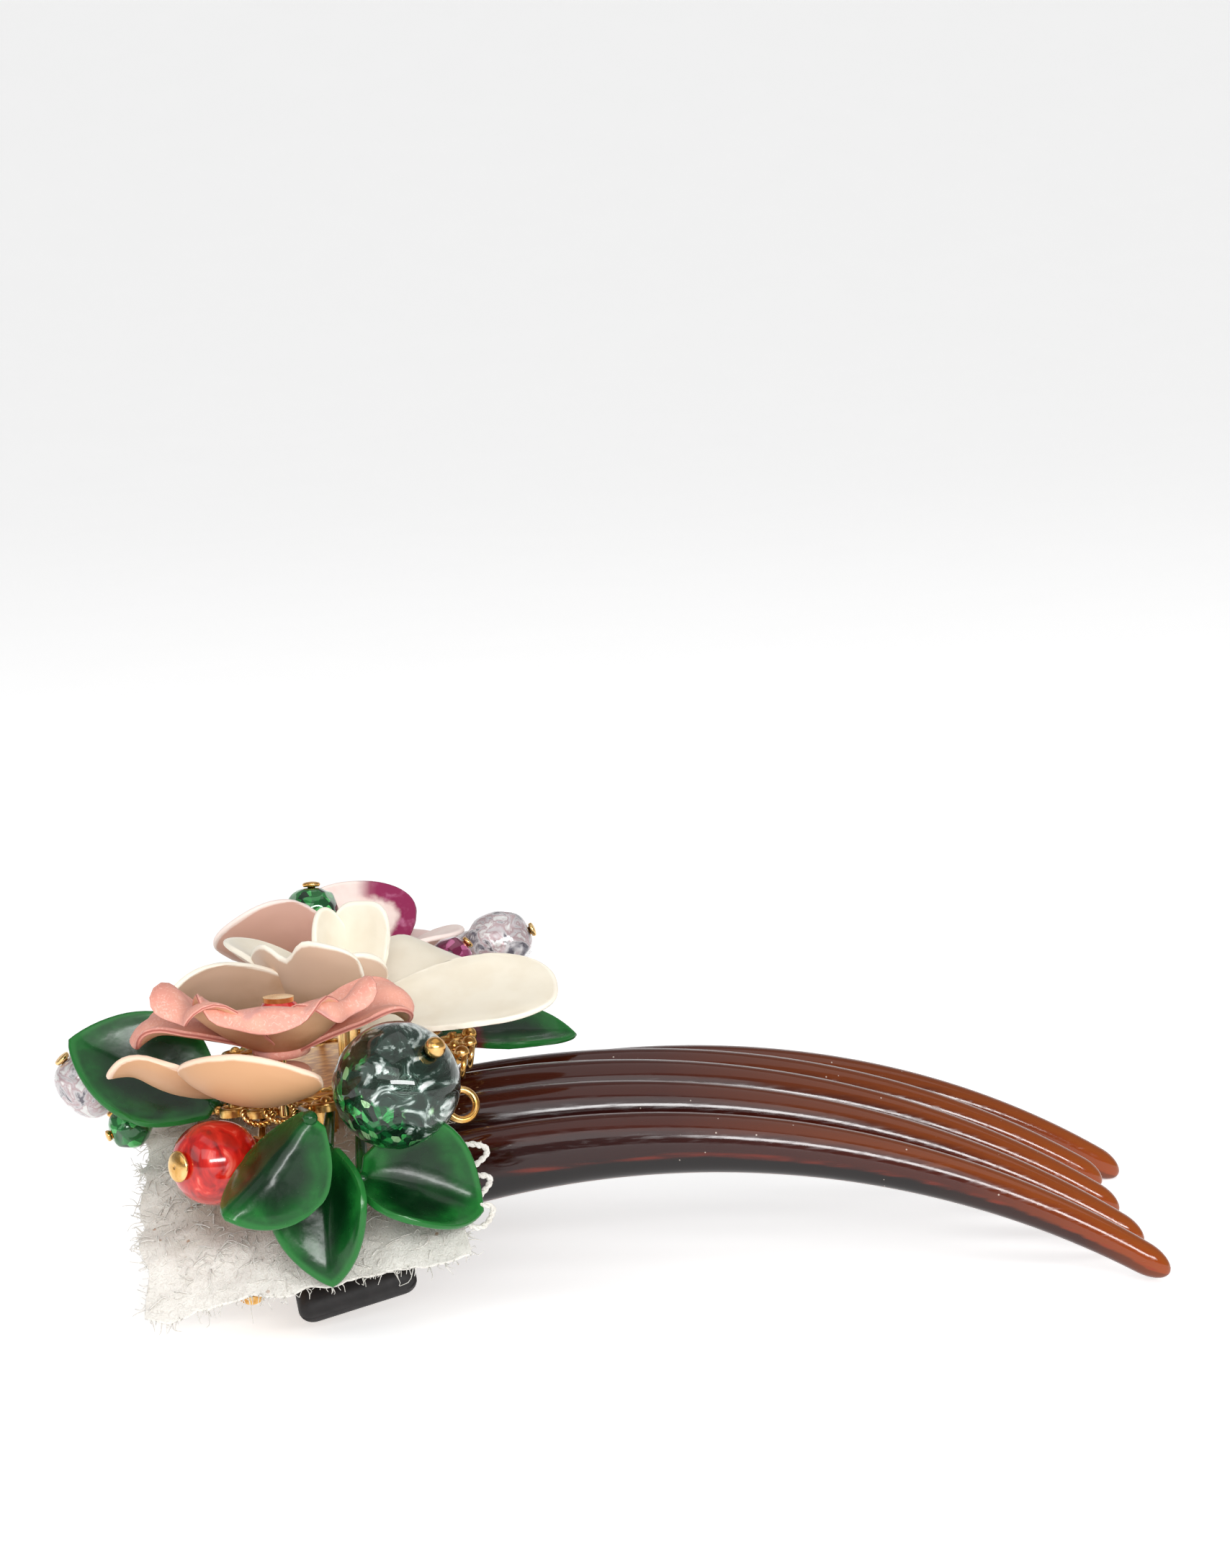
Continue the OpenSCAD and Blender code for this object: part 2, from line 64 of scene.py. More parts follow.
@dataclass
class Bead:
    """A bead on its head pin. The angles aim the pin from its bend out to its head; head is
    how wide the pin's head is, tail is how far behind the centre the pin bends, and anchor is
    where it ends."""

    name: str
    centre: tuple
    azimuth: float
    elevation: float
    diameter: float
    length: float
    head: float
    tail: float
    anchor: tuple

    def axis(self):
        a = math.radians(self.azimuth)
        e = math.radians(self.elevation)
        return np.array([math.cos(a) * math.cos(e), math.sin(a) * math.cos(e), math.sin(e)])


CRACKLE = Bead("crackle", (21.4, -32, 25.4), -39, 38, 12.8, 12.4, 2.2, 7.4, (15.5, -23, 22.1))
CORAL = Bead("coral", (2.8, -33.2, 18.6), -139, 5, 8.6, 8.8, 3.2, 5.6, (7, -22.5, 21.4))
CLEAR_SIDE = Bead("clear_side", (-12.4, -11.5, 23.2), 190, 50, 6.2, 7.4, 1.8, 4.6, (-1.8, -8, 20.6))
GREEN_SIDE = Bead("green_side", (-7.8, -14.5, 19), 200, -15, 4.6, 4.6, 1.2, 3, (-1.2, -10.5, 20.6))
GREEN_BACK = Bead("green_back", (10.4, 17.6, 36), 90, 84, 6.2, 6, 2, 8, (10.4, 16.7, 21.7))
FUCHSIA = Bead("fuchsia", (26, 10, 31.4), 10, 40, 4.6, 4.6, 1.4, 4, (20.5, 8, 22.5))
CLEAR_BACK = Bead("clear_back", (31, 17, 31.6), 0, 20, 7.2, 8, 1.6, 5.4, (23, 10.5, 22.8))
CRYSTAL_BACK = Bead("crystal_back", (27.6, 27, 28.4), 40, 30, 6.4, 6.4, 1.4, 4.4, (19.5, 14.5, 22.5))

ORIGIN = joint_place("crackle_spin") / MM - np.array(CRACKLE.centre)

# The comb: its crest is an arc, and the outer teeth spread and sit lower than the middle one.
CREST_RADIUS = 101
CREST_TOP = (39.7, 21)
ROOT_X = 14.5
TIP_X = 100
TOOTH_TRIMS = (0, 1.1, 2.2, 2.6, -0.8)
# Spacing, drop, height and width at a tooth's root and at its tip.
TOOTH_SPACING = (7.7, 12.7)
TOOTH_DROP = (3.7, -0.7)
TOOTH_HEIGHT = (8.6, 2.7)
TOOTH_WIDTH = (6.2, 2.8)
TOOTH_ROUND_FROM = 0.97
# The saddle: the arched spine, the sleeve round it, and the plate and lace that lie on it.
SADDLE_RADIUS = 50
SADDLE_TOP = (12.7, 0, 17.3)
SADDLE_TILT = 15
SLEEVE_WIDTH = 12.6
SLEEVE_THICK = 3.2
SLEEVE_WALL = 0.6
SLEEVE_HALF_ANGLE = 43
WINDOW_HALF_ANGLE = 28
PLATE_THICK = 0.6
PLATE_RADIUS = SADDLE_RADIUS + PLATE_THICK
LACE_THICK = 0.5
LACE_RADIUS = PLATE_RADIUS + 0.15 + LACE_THICK
LACE_BACK = -18.8
LACE_FRONT = 11.8
LACE_SIDE = 34.6
LACE_PIVOT = 11.5
LACE_ANGLE = 7
RIM_FIBRES = 700
FACE_FIBRES = 2600
# The upper plate, and what stands on it.
UPPER_AT = (12, -2, 21.6)
UPPER_HALF = (16, 24)
UPPER_TILT = 5
UPPER_TOP = PLATE_THICK + 0.1
PIN_DIAMETER = 0.9
BEAD_TRIM = 0.1
BEAD_SQUARENESS = 0.9
HEAD_GAP = 0.12
PETAL_THICK = 0.9
LEAF_THICK = 1.0


@dataclass
class Blade:
    """A petal or leaf that grows along X. bend turns it evenly and curl turns what lies past
    curl_from, in degrees; cup and fold raise its two sides; base is its width at the root and
    widest is where it is full, as shares; a high tip_power squares off its tip, notch dents the
    tip and wave ruffles it."""

    length: float
    width: float
    bend: float
    cup: float
    fold: float = 0
    widest: float = 0.62
    base: float = 0.42
    tip_power: float = 2
    curl: float = 0
    curl_from: float = 0.7
    notch: float = 0
    wave: float = 0
    thick: float = PETAL_THICK


def leaf_blade(length, width, bend, cup, fold, **more):
    return Blade(length, width, bend, cup, fold, widest=0.42, base=0.3, tip_power=1.25,
                 thick=LEAF_THICK, **more)


# Petal rows: azimuth round the flower, rise above level, roll, blade.
CREAM_AT = (15.2, -7.5, 27.5)
CREAM_PETALS = [
    (-5, 14, 30, Blade(21, 11.6, -16, 0.12, tip_power=2.6)),
    (42, 36, 20, Blade(15, 10, -22, 0.1, curl=-50, curl_from=0.72)),
    (68, 66, 0, Blade(12.4, 7, 12, 0.12, tip_power=3.4, widest=0.7)),
    (120, 74, 20, Blade(11.8, 5.6, 6, 0.2)),
    (160, 42, 4, Blade(14.5, 9.5, -12, 0.25, widest=0.55)),
    (190, 24, 40, Blade(20.5, 11.5, -30, 0.2, curl=-24, curl_from=0.6)),
    (232, 30, 6, Blade(12.8, 14, 46, 0.35, notch=0.18)),
    (288, 42, 0, Blade(9.4, 7, 34, 0.3)),
]
CORAL_AT = (9.5, -26, 25.6)
CORAL_LAYER_RISE = 2.8
CORAL_TILT = 8
CORAL_UPPER_PETALS = [
    (4, 34, 12, Blade(13.5, 9, -28, 0.2, curl=-70, curl_from=0.66, wave=0.5)),
    (-46, 26, 0, Blade(12.6, 11, 40, 0.3, curl=-150, curl_from=0.72, wave=0.5, thick=0.6)),
    (-96, 26, 0, Blade(12.8, 15, 40, 0.3, curl=-155, curl_from=0.72, wave=0.6, thick=0.6)),
    (-142, 22, 0, Blade(14, 12, 40, 0.3, curl=-145, curl_from=0.74, wave=0.5, thick=0.6)),
    (178, 27, 0, Blade(14.5, 9, -30, 0.15, curl=-50, curl_from=0.65, wave=0.4)),
]
CORAL_LOWER_PETALS = [
    (-106, -28, 0, Blade(15.5, 15, 112, 0.3)),
    (202, -24, 30, Blade(17, 11, 84, 0.25, curl=-70, curl_from=0.74)),
]
BLUSH_AT = (14.4, 19.5, 27.5)
BLUSH_PETALS = [
    (-90, 22, 0, Blade(8, 10, -20, 0.2)),
    (-14, 32, 0, Blade(12.5, 9, -14, 0.2)),
    (36, 30, 0, Blade(12, 10, -30, 0.2)),
    (88, 38, 0, Blade(12.8, 14, 20, 0.2)),
    (142, 36, 0, Blade(14, 11, -20, 0.2)),
    (206, 36, 44, Blade(16, 12, -18, 0.3)),
]

# Leaf rows: base, azimuth, rise, roll, blade, other end of the stem.
LEAVES = {
    "leaf_front_left": ((13.0, -39.4, 23.9), 196, -52, -50, leaf_blade(13.2, 9.4, 30, 0, -0.9),
                        (10.6, -23, 21.6)),
    "leaf_front_middle": ((14, -33, 19), -92, -64, 12, leaf_blade(13.4, 10, -14, 0.5, 0.25),
                          (14, -23, 21.6)),
    "leaf_front_right": ((17.5, -33.4, 16.2), -12, -8, 48,
                         leaf_blade(12.6, 11.8, -30, 0.7, 0.1), (16.9, -21.4, 21.9)),
    "leaf_side_left": ((1.5, -18, 21.6), 172, 24, -50, leaf_blade(16.5, 13, 8, 0.1, 0.3),
                       (3, -16, 21)),
    "leaf_back_right": ((25, 6, 23.2), 8, 2, 28, leaf_blade(14.5, 8, -12, 0.1, 0.25),
                        (22.6, 2, 22.7)),
    "leaf_back_left": ((3, 17, 23), 140, 4, 0, leaf_blade(14, 10, -15, 0.1, 0.3),
                       (5, 14, 21.2)),
}


# ---------------------------------------------------------------- turning and placing

def turn(axis, degrees):
    return np.array(Matrix.Rotation(math.radians(degrees), 3, axis))


def aimed(azimuth, rise, roll):
    """Turns a thing that points along X to an azimuth and a rise, rolled about its own line."""
    return turn("Z", azimuth) @ turn("Y", -rise) @ turn("X", roll)


def moved(points, rotation, place):
    return np.asarray(points) @ rotation.T + np.array(place, float)


def placed(made, rotation, place):
    """Moves (points, faces)."""
    points, faces = made
    return moved(points, rotation, place), faces


def along_axis(axis):
    """A rotation that carries +Z to the axis."""
    return np.array(Vector((0, 0, 1)).rotation_difference(Vector(axis)).to_matrix())


def in_saddle(points):
    """From the saddle's own axes, with the arch about X and its top at SADDLE_RADIUS."""
    lowered = np.asarray(points) - np.array([0, 0, SADDLE_RADIUS])
    return moved(lowered, turn("Y", -SADDLE_TILT), SADDLE_TOP)


def lifted(points):
    """Tips the lace up at its back, about a line across the saddle near its front."""
    hinge = np.array([LACE_PIVOT, 0, SADDLE_RADIUS])
    return in_saddle((np.asarray(points) - hinge) @ turn("Y", LACE_ANGLE).T + hinge)


def in_upper(points):
    return moved(points, turn("Y", -UPPER_TILT), UPPER_AT)


def to_row(points):
    return (np.asarray(points, float) + ORIGIN) * MM


def unit(v):
    v = np.asarray(v, float)
    return v / np.maximum(np.linalg.norm(v, axis=-1, keepdims=True), 1e-9)


def between_ends(ends, share):
    return ends[0] + (ends[1] - ends[0]) * share


def smooth(x, low, high):
    t = np.clip((np.asarray(x, float) - low) / (high - low), 0, 1)
    return t * t * (3 - 2 * t)


def rough(points, size, seed=0.0):
    """Smooth noise from -1 to 1 at each point, with bumps of about that size."""
    return np.array([noise.noise(Vector(p) / size + Vector((seed, 0, 0))) for p in points])


# ---------------------------------------------------------------- building meshes

class Shape:
    """Points, faces, the material number of each face, and values kept at each point."""

    def __init__(self):
        self.points = []
        self.faces = []
        self.finishes = []
        self.values = {}

    def add(self, points, faces, finish=0, **values):
        start = len(self.points)
        self.points.extend(np.asarray(points, float).tolist())
        self.faces.extend([[start + i for i in face] for face in faces])
        self.finishes.extend([finish] * len(faces))
        for name, value in values.items():
            kept = self.values.setdefault(name, [0.0] * start)
            kept.extend(np.broadcast_to(value, len(points)).tolist())
        for kept in self.values.values():
            kept.extend([0.0] * (len(self.points) - len(kept)))

    def piece(self, name, materials, slot, body=ROOT, replaces=()):
        """The shape as a Blender object that rides on a body and stands for CAD nodes."""
        mesh = bpy.data.meshes.new(name)
        mesh.from_pydata(to_row(self.points).tolist(), [], self.faces)
        for material in materials:
            mesh.materials.append(material)
        mesh.polygons.foreach_set("material_index", self.finishes)
        for value_name, values in self.values.items():
            attribute = mesh.attributes.new(value_name, "FLOAT", "POINT")
            attribute.data.foreach_set("value", values)
        built = bmesh.new()
        built.from_mesh(mesh)
        bmesh.ops.recalc_face_normals(built, faces=built.faces)
        built.to_mesh(mesh)
        built.free()
        mesh.shade_smooth()
        piece = bpy.data.objects.new(name, mesh)
        bpy.context.scene.collection.objects.link(piece)
        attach(piece, body)
        if replaces:
            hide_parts(*replaces)
        return piece


def ring_faces(rings, sides, closed=True):
    """Faces that join rings of points laid one after another."""
    count = sides if closed else sides - 1
    return [
        [r * sides + k, r * sides + (k + 1) % sides,
         (r + 1) * sides + (k + 1) % sides, (r + 1) * sides + k]
        for r in range(rings - 1)
        for k in range(count)
    ]


def capped(rings, sides):
    faces = ring_faces(rings, sides)
    faces.append(list(range(sides))[::-1])
    faces.append([(rings - 1) * sides + k for k in range(sides)])
    return faces


def smooth_path(places, count):
    """Points spaced along a smooth curve through the given places."""
    p = np.asarray(places, float)
    p = np.vstack([2 * p[0] - p[1], p, 2 * p[-1] - p[-2]])
    out = []
    for t in np.linspace(0, len(places) - 1, count):
        i = min(int(t), len(places) - 2)
        s = t - i
        a, b, c, d = p[i], p[i + 1], p[i + 2], p[i + 3]
        out.append(0.5 * (2 * b + (c - a) * s + (2 * a - 5 * b + 4 * c - d) * s ** 2
                          + (3 * b - a - 3 * c + d) * s ** 3))
    return np.array(out)


def path_frames(path, closed=False):
    """Two directions across the path at each of its points, turning as little as possible."""
    path = np.asarray(path, float)
    if closed:
        tangent = unit(np.roll(path, -1, 0) - np.roll(path, 1, 0))
    else:
        tangent = unit(np.gradient(path, axis=0))
    first = np.cross(tangent[0], [0.3, 0.2, 1.0])
    across = [unit(first)]
    for t in tangent[1:]:
        previous = across[-1]
        across.append(unit(previous - t * np.dot(previous, t)))
    across = np.array(across)
    return across, np.cross(tangent, across)


def oval(rx, ry, count, centre=(0, 0, 0)):
    """Points round a level oval."""
    x, y, z = centre
    return np.array([(x + rx * math.cos(a), y + ry * math.sin(a), z)
                     for a in np.arange(count) * 2 * math.pi / count])


def twisted(path, reach, turns):
    """Two strands wound round each other along a closed path, each that far from it."""
    side, up = path_frames(path, closed=True)
    strands = []
    for ply in range(2):
        twist = np.arange(len(path)) * 2 * math.pi * turns / len(path) + math.pi * ply
        away = np.cos(twist)[:, None] * side + np.sin(twist)[:, None] * up
        strands.append(path + away * reach)
    return strands


def tube(path, radius, sides=10, closed=False):
    """(points, faces) of a round tube along a path; radius is one value or one a point."""
    path = np.asarray(path, float)
    side, up = path_frames(path, closed)
    radius = np.broadcast_to(radius, len(path))
    angles = np.arange(sides) * 2 * math.pi / sides
    points = [p + (math.cos(a) * s + math.sin(a) * u) * r
              for p, s, u, r in zip(path, side, up, radius) for a in angles]
    if not closed:
        return points, capped(len(path), sides)
    faces = ring_faces(len(path), sides)
    last = (len(path) - 1) * sides
    gaps = [np.linalg.norm(np.array(points[last]) - points[k]) for k in range(sides)]
    slip = int(np.argmin(gaps))
    faces += [[last + k, last + (k + 1) % sides, (k + 1 + slip) % sides, (k + slip) % sides]
              for k in range(sides)]
    return points, faces


def lathe(profile, sides=40):
    """(points, faces) of a closed ring profile of (radius, height) turned about Z."""
    points = [
        (r * math.cos(a), r * math.sin(a), z)
        for r, z in profile
        for a in np.arange(sides) * 2 * math.pi / sides
    ]
    faces = ring_faces(len(profile), sides)
    last = (len(profile) - 1) * sides
    faces += [[last + k, last + (k + 1) % sides, (k + 1) % sides, k] for k in range(sides)]
    return np.array(points), faces


def ball(place, radius, around=14, up=8):
    """(points, faces) of a small ball."""
    points = []
    for i in range(up + 1):
        e = math.pi * (0.02 + 0.96 * i / up) - math.pi / 2
        for k in range(around):
            a = 2 * math.pi * k / around
            points.append((math.cos(a) * math.cos(e), math.sin(a) * math.cos(e), math.sin(e)))
    return np.array(points) * radius + np.array(place, float), capped(up + 1, around)


# ---------------------------------------------------------------- sheets: petals, leaves, cloth

def sheet_border(rows, columns):
    """The grid's border in order, each with its inner neighbour."""
    loop = [((0, j), (1, j)) for j in range(columns)]
    loop += [((i, columns - 1), (i, columns - 2)) for i in range(1, rows - 1)]
    loop += [((rows - 1, j), (rows - 2, j)) for j in range(columns - 1, -1, -1)]
    loop += [((i, 0), (i, 1)) for i in range(rows - 2, 0, -1)]
    return loop


def add_sheet(shape, grid, thickness, **values):
    """Thickens a grid of points into a closed sheet with a round rim. Each point keeps how far
    it is from the rim in millimetres (edge) and which face it is on (under: 0, 1)."""
    rows, columns = grid.shape[:2]
    down = np.gradient(grid, axis=0)
    across = np.gradient(grid, axis=1)
    normal = unit(np.cross(down, across))
    loop = sheet_border(rows, columns)
    rim = np.array([grid[a] for a, _ in loop])
    flat = grid.reshape(-1, 3)
    edge = np.array([np.linalg.norm(rim - p, axis=1).min() for p in flat])
    half = thickness / 2 * np.clip(0.62 + 0.38 * edge / 1.2, 0, 1)
    normals = normal.reshape(-1, 3)
    square = ring_faces(rows, columns, closed=False)
    point_values = {k: np.broadcast_to(v, grid.shape[:2]).reshape(-1) for k, v in values.items()}
    shape.add(flat + normals * half[:, None], square, edge=edge, under=0.0, **point_values)
    shape.add(flat - normals * half[:, None], [f[::-1] for f in square], edge=edge, under=1.0,
              **point_values)
    number = {(i, j): i * columns + j for i in range(rows) for j in range(columns)}
    outward = []
    for a, b in loop:
        away = grid[a] - grid[b]
        n = normal[a]
        outward.append(unit(away - n * np.dot(away, n)))
    rim_steps = 5
    points = []
    under = []
    for k in range(rim_steps + 1):
        angle = math.pi * k / rim_steps
        for (a, _), out in zip(loop, outward):
            h = half[number[a]]
            points.append(grid[a] + (normal[a] * math.cos(angle) + out * math.sin(angle)) * h)
            under.append(k / rim_steps)
    size = len(loop)
    rim_values = {k: np.tile([v[number[a]] for a, _ in loop], rim_steps + 1)
                  for k, v in point_values.items()}
    shape.add(points, ring_faces(rim_steps + 1, size), edge=0.0, under=under, **rim_values)


def blade_grid(blade, seed):
    """The middle surface of a blade as a grid, with each point's share of the length."""
    rows, columns = 30, 27
    v = np.sin(np.linspace(-1, 1, columns) * math.pi / 2)
    reach = blade.widest + (1 - blade.widest) * np.sqrt(
        np.clip(1 - np.abs(v) ** blade.tip_power, 0, 1))
    reach = reach - blade.notch * np.exp(-(v / 0.25) ** 2)
    u = np.linspace(0, 1, rows)[:, None] * reach[None, :]
    fine = np.linspace(0, 1, 200)
    heading = np.radians(blade.bend * fine + blade.curl * smooth(fine, blade.curl_from, 1))
    step = blade.length / 199
    out = np.concatenate([[0], np.cumsum(np.cos(heading[1:]) * step)])
    up = np.concatenate([[0], np.cumsum(np.sin(heading[1:]) * step)])
    a = np.interp(u, fine, heading)
    grow = np.where(u < blade.widest,
                    blade.base + (1 - blade.base) * np.sin(math.pi / 2 * u / blade.widest), 1)
    w = blade.width / 2 * grow
    side = np.broadcast_to(v[None, :], u.shape)
    fold = np.sqrt(side ** 2 + 0.004) - 0.063
    rise = w * (blade.cup * side ** 2 + blade.fold * fold)
    rise = rise + blade.wave * smooth(u, 0.5, 1) * np.sin(5.5 * side + seed)
    x = np.interp(u, fine, out) - rise * np.sin(a)
    z = np.interp(u, fine, up) + rise * np.cos(a)
    grid = np.stack([x, side * w, z], axis=-1)
    flat = grid.reshape(-1, 3)
    wobble = rough(flat, 5.0, seed) * 0.16 + rough(flat, 1.6, seed + 9) * 0.035
    grid[..., 2] += wobble.reshape(u.shape) * smooth(u, 0.1, 0.5)
    return grid, u


def add_petal(shape, row, at, tilt, number, painted):
    azimuth, rise, roll, blade = row
    grid, u = blade_grid(blade, seed=number * 3.7)
    right_edge = grid[..., 1] / blade.width * -2
    paint = smooth(right_edge, -0.05, 0.3) if painted else 0.0
    points = moved(grid.reshape(-1, 3), aimed(0, rise, roll), (1.7, 0, 0.55))
    points = moved(points, turn("X", tilt) @ turn("Z", azimuth), at)
    add_sheet(shape, points.reshape(grid.shape), blade.thick, along=u, paint=paint)


def flower(name, at, petals, disc, tilt, material, slot, painted=None):
    """A flower on its disc. The petal numbered painted has a band round its right rim."""
    shape = Shape()
    for i, row in enumerate(petals):
        add_petal(shape, row, at, tilt, i, i == painted)
    profile = [(0.05, 0), (disc / 2, 0.0), (disc / 2, 0.7), (disc / 2 - 0.3, 1), (0.05, 1)]
    shape.add(*placed(lathe(profile, 32), turn("X", tilt), at), edge=2.0)
    shape.piece(name, [material], slot, replaces=[name])


# ---------------------------------------------------------------- materials

def srgb(r, g, b):
    """A colour of 0 to 255 on screen as a shader colour."""
    def linear(c):
        c = c / 255
        return c / 12.92 if c <= 0.04045 else ((c + 0.055) / 1.055) ** 2.4
    return (linear(r), linear(g), linear(b), 1.0)


class Finish:
    """A material under construction, with short ways to add the nodes it is made of."""

    def __init__(self, name, **sockets):
        self.material = bpy.data.materials.new(name)
        self.material.use_nodes = True
        self.tree = self.material.node_tree
        self.shader = self.tree.nodes["Principled BSDF"]
        for socket, value in sockets.items():
            self.shader.inputs[socket.replace("_", " ")].default_value = value

    def node(self, kind, inputs=None, **settings):
        made = self.tree.nodes.new("ShaderNode" + kind)
        for key, value in settings.items():
            setattr(made, key, value)
        for key, value in (inputs or {}).items():
            self.feed(made.inputs[key], value)
        return made

    def feed(self, socket, value):
        if isinstance(value, bpy.types.NodeSocket):
            self.tree.links.new(value, socket)
        else:
            socket.default_value = value

    def to(self, socket, value):
        self.feed(self.shader.inputs[socket], value)

    def value_of(self, attribute):
        return self.node("Attribute", attribute_name=attribute).outputs["Fac"]

    def place(self, stretch=(1, 1, 1)):
        where = self.node("TexCoord").outputs["Object"]
        return self.node("Mapping", {"Vector": where, "Scale": stretch}).outputs["Vector"]

    def noise(self, size, detail=3, stretch=(1, 1, 1), distortion=0.0):
        """Noise with blotches of about size millimetres."""
        return self.node("TexNoise", {"Vector": self.place(stretch), "Scale": 1 / (size * MM),
                                      "Detail": detail, "Distortion": distortion}).outputs["Fac"]

    def cells(self, size, stretch=(1, 1, 1)):
        """A pattern of cells of about size millimetres."""
        return self.node("TexVoronoi", {"Vector": self.place(stretch),
                                        "Scale": 1 / (size * MM)}).outputs

    def cell_values(self, size, stretch=(1, 1, 1)):
        """Three unrelated values, each the same all over a cell."""
        colour = self.cells(size, stretch)["Color"]
        return self.node("SeparateColor", {"Color": colour}).outputs

    def times(self, a, b):
        return self.node("Math", {0: a, 1: b}, operation="MULTIPLY").outputs[0]

    def plus(self, a, b):
        return self.node("Math", {0: a, 1: b}, operation="ADD").outputs[0]

    def between(self, value, low, high):
        """0 at low and 1 at high, turning smoothly between them. low may be the larger."""
        return self.node("MapRange", {"Value": value, "From Min": low, "From Max": high},
                         interpolation_type="SMOOTHSTEP").outputs[0]

    def mix(self, share, a, b):
        return self.node("Mix", {0: share, 6: a, 7: b}, data_type="RGBA").outputs[2]

    def ramp(self, value, *stops):
        made = self.node("ValToRGB", {"Fac": value})
        elements = made.color_ramp.elements
        while len(elements) < len(stops):
            elements.new(0.5)
        for element, (place, colour) in zip(elements, stops):
            element.position = place
            element.color = colour
        return made.outputs["Color"]

    def roughness(self, base, extra, pattern):
        """Roughness of base, and up to extra more where the pattern is 1."""
        self.to("Roughness", self.plus(base, self.times(pattern, extra)))

    def relief(self, height, strength, depth):
        """Bumps of that depth in millimetres."""
        bump = self.node("Bump", {"Height": height, "Strength": strength,
                                  "Distance": depth * MM})
        self.to("Normal", bump.outputs["Normal"])


def tortoiseshell():
    """Dark brown plastic, amber at the tips of the teeth. Painted shade makes the lower half of each
    tooth near black; painted light makes its upper part lighter, adds a red glow band below the
    middle, and a paler line along the bottom edge stands for the floor's reflection.
    """
    f = Finish("tortoiseshell", IOR=1.5)
    along = f.value_of("along")
    rise = f.value_of("rise")
    body = f.ramp(along, (0.0, srgb(30, 7, 6)), (0.4, srgb(42, 11, 8)),
                  (0.75, srgb(66, 20, 8)), (1.0, srgb(142, 60, 10)))
    # Painted shade: the lower half of each tooth (low) is near black, standing in for the dark room
    # it reflects.
    low = f.ramp(along, (0.0, srgb(8, 3, 3)), (0.7, srgb(14, 5, 4)), (0.9, srgb(52, 18, 8)),
                 (1.0, srgb(112, 48, 10)))
    # Painted light: the upper part of each tooth is lighter, as if lit from above.
    painted_lit_crest = f.ramp(along, (0.0, srgb(44, 13, 9)), (0.4, srgb(66, 22, 10)),
                   (1.0, srgb(140, 66, 14)))
    streak = f.noise(0.9, 2, stretch=(0.05, 1, 1))
    uneven = f.plus(rise, f.times(f.plus(streak, -0.5), 0.35))
    colour = f.mix(f.between(uneven, -0.42, -0.22), low, body)
    colour = f.mix(f.between(uneven, 0.3, 0.7), colour, painted_lit_crest)
    # Painted light: a red glow band just below the middle of each tooth, as if light shone through
    # the plastic.
    painted_glow = f.times(f.between(rise, -0.12, -0.22), f.between(rise, -0.4, -0.28))
    painted_glow = f.times(painted_glow, f.between(streak, 0.4, 0.75))
    colour = f.mix(f.times(painted_glow, 0.7), colour, srgb(128, 36, 14))
    # Painted reflection: an orange-brown line along the bottom edge of each tooth stands for the
    # floor reflected there.
    colour = f.mix(f.between(rise, -0.9, -0.97), colour, srgb(96, 40, 12))
    near = f.cells(1.3)["Distance"]
    which = f.cell_values(1.3)[0]
    speck = f.times(f.between(near, 0.085, 0.05), f.between(which, 0.72, 0.74))
    colour = f.mix(f.times(speck, 0.75), colour, srgb(205, 190, 178))
    f.to("Base Color", colour)
    worn = f.noise(0.3, 3, stretch=(0.1, 1, 1))
    f.roughness(0.09, 0.22, f.between(worn, 0.45, 0.8))
    f.relief(f.noise(0.5, 4, stretch=(0.15, 1, 1)), 0.12, 0.03)
    return f.material


def black_rubber():
    f = Finish("black_rubber", Specular_IOR_Level=0.3)
    f.to("Base Color", f.mix(f.noise(1.2, 4), srgb(18, 17, 18), srgb(40, 37, 37)))
    f.roughness(0.42, 0.3, f.noise(0.7, 4))
    f.relief(f.noise(0.25, 3), 0.25, 0.03)
    return f.material


def metal(name, bright, dark, size, roughness, depth):
    f = Finish(name, Metallic=1.0)
    patina = f.noise(size, 4)
    f.to("Base Color", f.mix(f.between(patina, 0.38, 0.66), dark, bright))
    f.roughness(roughness, 0.14, f.noise(size * 0.5, 3))
    f.relief(f.noise(size * 0.3, 3), 0.35, depth)
    return f.material


def cloth(name, clean, stain):
    """Matted yarn, stained in blots, with brown flecks and a darker patch under the bouquet."""
    f = Finish(name, Roughness=0.95, Sheen_Weight=0.3, Sheen_Roughness=0.5,
               Specular_IOR_Level=0.1)
    blot = f.noise(6.0, 5, distortion=0.6)
    fibre = f.noise(0.5, 4, stretch=(1, 0.3, 1), distortion=2.4)
    colour = f.mix(f.between(blot, 0.52, 0.82), clean, stain)
    colour = f.mix(f.times(f.between(fibre, 0.5, 0.3), 0.5), colour, stain)
    fleck = f.times(f.between(f.cells(2.1)["Distance"], 0.13, 0.07),
                    f.between(f.noise(3.0, 2), 0.5, 0.6))
    colour = f.mix(f.times(fleck, 0.7), colour, srgb(170, 120, 78))
    under_bouquet = f.value_of("inner")
    colour = f.mix(f.times(under_bouquet, 0.75), colour, srgb(176, 158, 138))
    f.to("Base Color", colour)
    weave = f.plus(fibre, f.times(f.noise(1.4, 3), 0.8))
    f.relief(weave, 0.7, 0.22)
    return f.material


